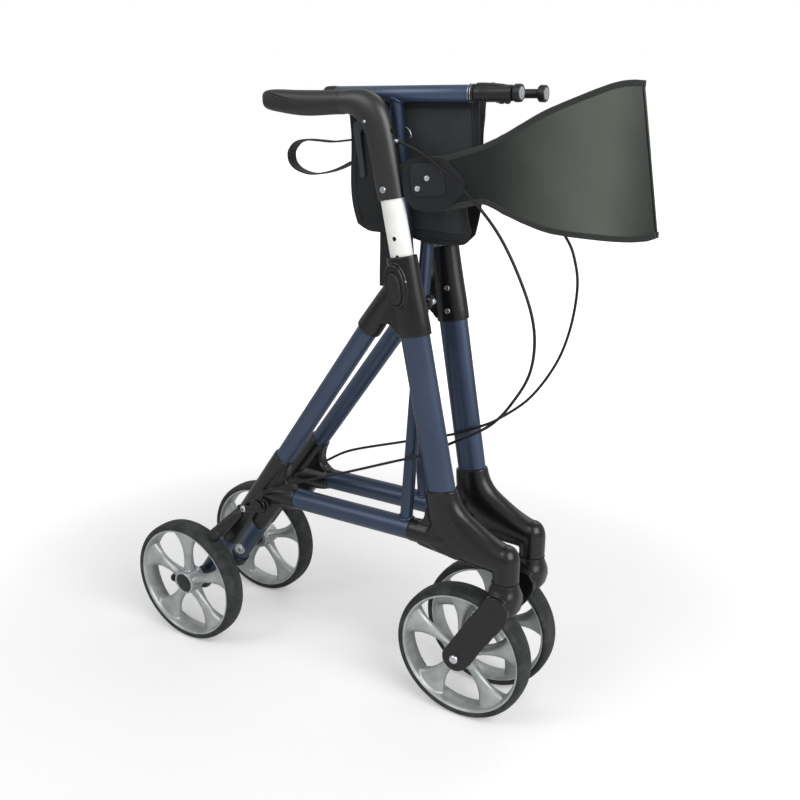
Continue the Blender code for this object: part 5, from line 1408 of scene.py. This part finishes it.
def seatStitches(way, whole, off):
    shares = [0.03 + 0.94 * i / 41 for i in range(42)]
    return stitchRow([(seatPoint(way, whole, share, off), seatPoint(way, whole, share + 0.004, off),
        yWay * (1 if off > 0 else -1)) for share in shares])


def onSide(piece, way, label, finish, body, stands=()):
    # a piece drawn on the far side goes to the side that it is for
    for vertex in piece.data.vertices:
        vertex.co.x += rearX
        vertex.co.y *= sides[way]
    if sides[way] < 0:
        piece.data.flip_normals()
    piece.name = way + "_" + label
    return dress(piece, finish, body, stands)


seatCloths, seatHems = {}, {}
hemShare = seatSet["hem"] / (seatSet["front"] - seatSet["rear"])
for way in sides:
    seatCloths[way] = onSide(seatPatch(way, 0.003, 0.997, 0.0, 1.0, 90, 64, seatSet["thick"]), way,
        "seatClothHalf", seatCloth, way + "_seat", [way + "_seat_half"])
    hemParts = [seatPatch(way, 1 - hemShare, 1.0, 0.0, 0.998, 6, 64, 0.0034),
        seatPatch(way, 0.0, hemShare, 0.0, 0.998, 6, 64, 0.0034), seatPatch(way, 0.045, 0.955, 0.940, 1.0,
        90, 4, 0.0026), seatPatch(way, 0.0, 1.0, 0.0, 0.055, 90, 5, 0.0028)]
    seatHems[way] = onSide(merged("hems", hemParts), way, "seatHems", seatTape, way + "_seat")
    seams = [seatStitches(way, whole, off) for whole in (1 - hemShare * 0.8, hemShare * 0.8)
        for off in (0.0018, -0.0018)]
    onSide(merged("seams", seams), way, "seatStitching", thread, way + "_seat")


def ribbon(name, route, wide, thick, y, steps=6):
    # a flat tape on edge along points of (x, z)
    places = smooth([Vector((x, y, z)) for x, z in route], steps)
    rings = []
    for i, place in enumerate(places):
        way = (places[min(i + 1, len(places) - 1)] - places[max(i - 1, 0)]).normalized()
        rings.append(section(place, way.cross(yWay), yWay, thick / 2, wide / 2, 6))
    return shaded(skin(name, rings, 28), 50)


strapY = -(seatTubeGap - braceSet["legRadius"] - 0.002 - braceTilt * 0.070)
liftRoute = ((0.2785, 0.788), (0.262, 0.7862), (0.247, 0.7850), (0.226, 0.7862), (0.206, 0.7868),
    (0.190, 0.7835), (0.1795, 0.7740), (0.1772, 0.7660), (0.1800, 0.7560), (0.191, 0.7475), (0.212, 0.7425),
    (0.236, 0.7450), (0.258, 0.7510), (0.2785, 0.7600))
liftStrap = ribbon("liftStrapLoop", liftRoute, 0.0180, 0.0022, strapY)
inMiddle(liftStrap, strapTape, "near_seat", ["lift_strap"])
strip = ribbon("seatStripTape", ((0.3225, 0.5955), (0.3228, 0.6200), (0.3236, 0.6450), (0.3240, 0.6690)),
    0.0016, 0.0310, 0.0016)
inMiddle(strip, strapTape, "far_seat", ["seat_strip"])

for way in sides:
    way + "_backrestBracketHinge"
    way + "_seatTubeRound"
print("seat made")


# Small screws on the castings

for label, z, depth, v in (("Upper", 0.5934, 0.0048, 0.0157), ("Lower", 0.5630, 0.0014, 0.0163)):
    screw = crossScrew("screw", frontPoint(z, depth=depth, v=-v), (0, -1, 0), 0.0042, 0.0022)
    bothSides(shaded(screw), "junctionScrew" + label, steel, "frame", "top_junction")
pinDot = turned("dot", [(0, 0), (0.0016, 0), (0.0016, 0.0018), (0.0010, 0.0024), (0, 0.0025)],
    frontPoint(0.6188, depth=0.0082, v=0.0135), yWay, 24)
bothSides(shaded(pinDot), "buttonPinDot", zinc, "frame", "top_junction")

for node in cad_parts.values():
    if not node.hide_render:
        print("still shown:", node.name)
        node.data.materials.clear()
        node.data.materials.append(casePlastic.material)
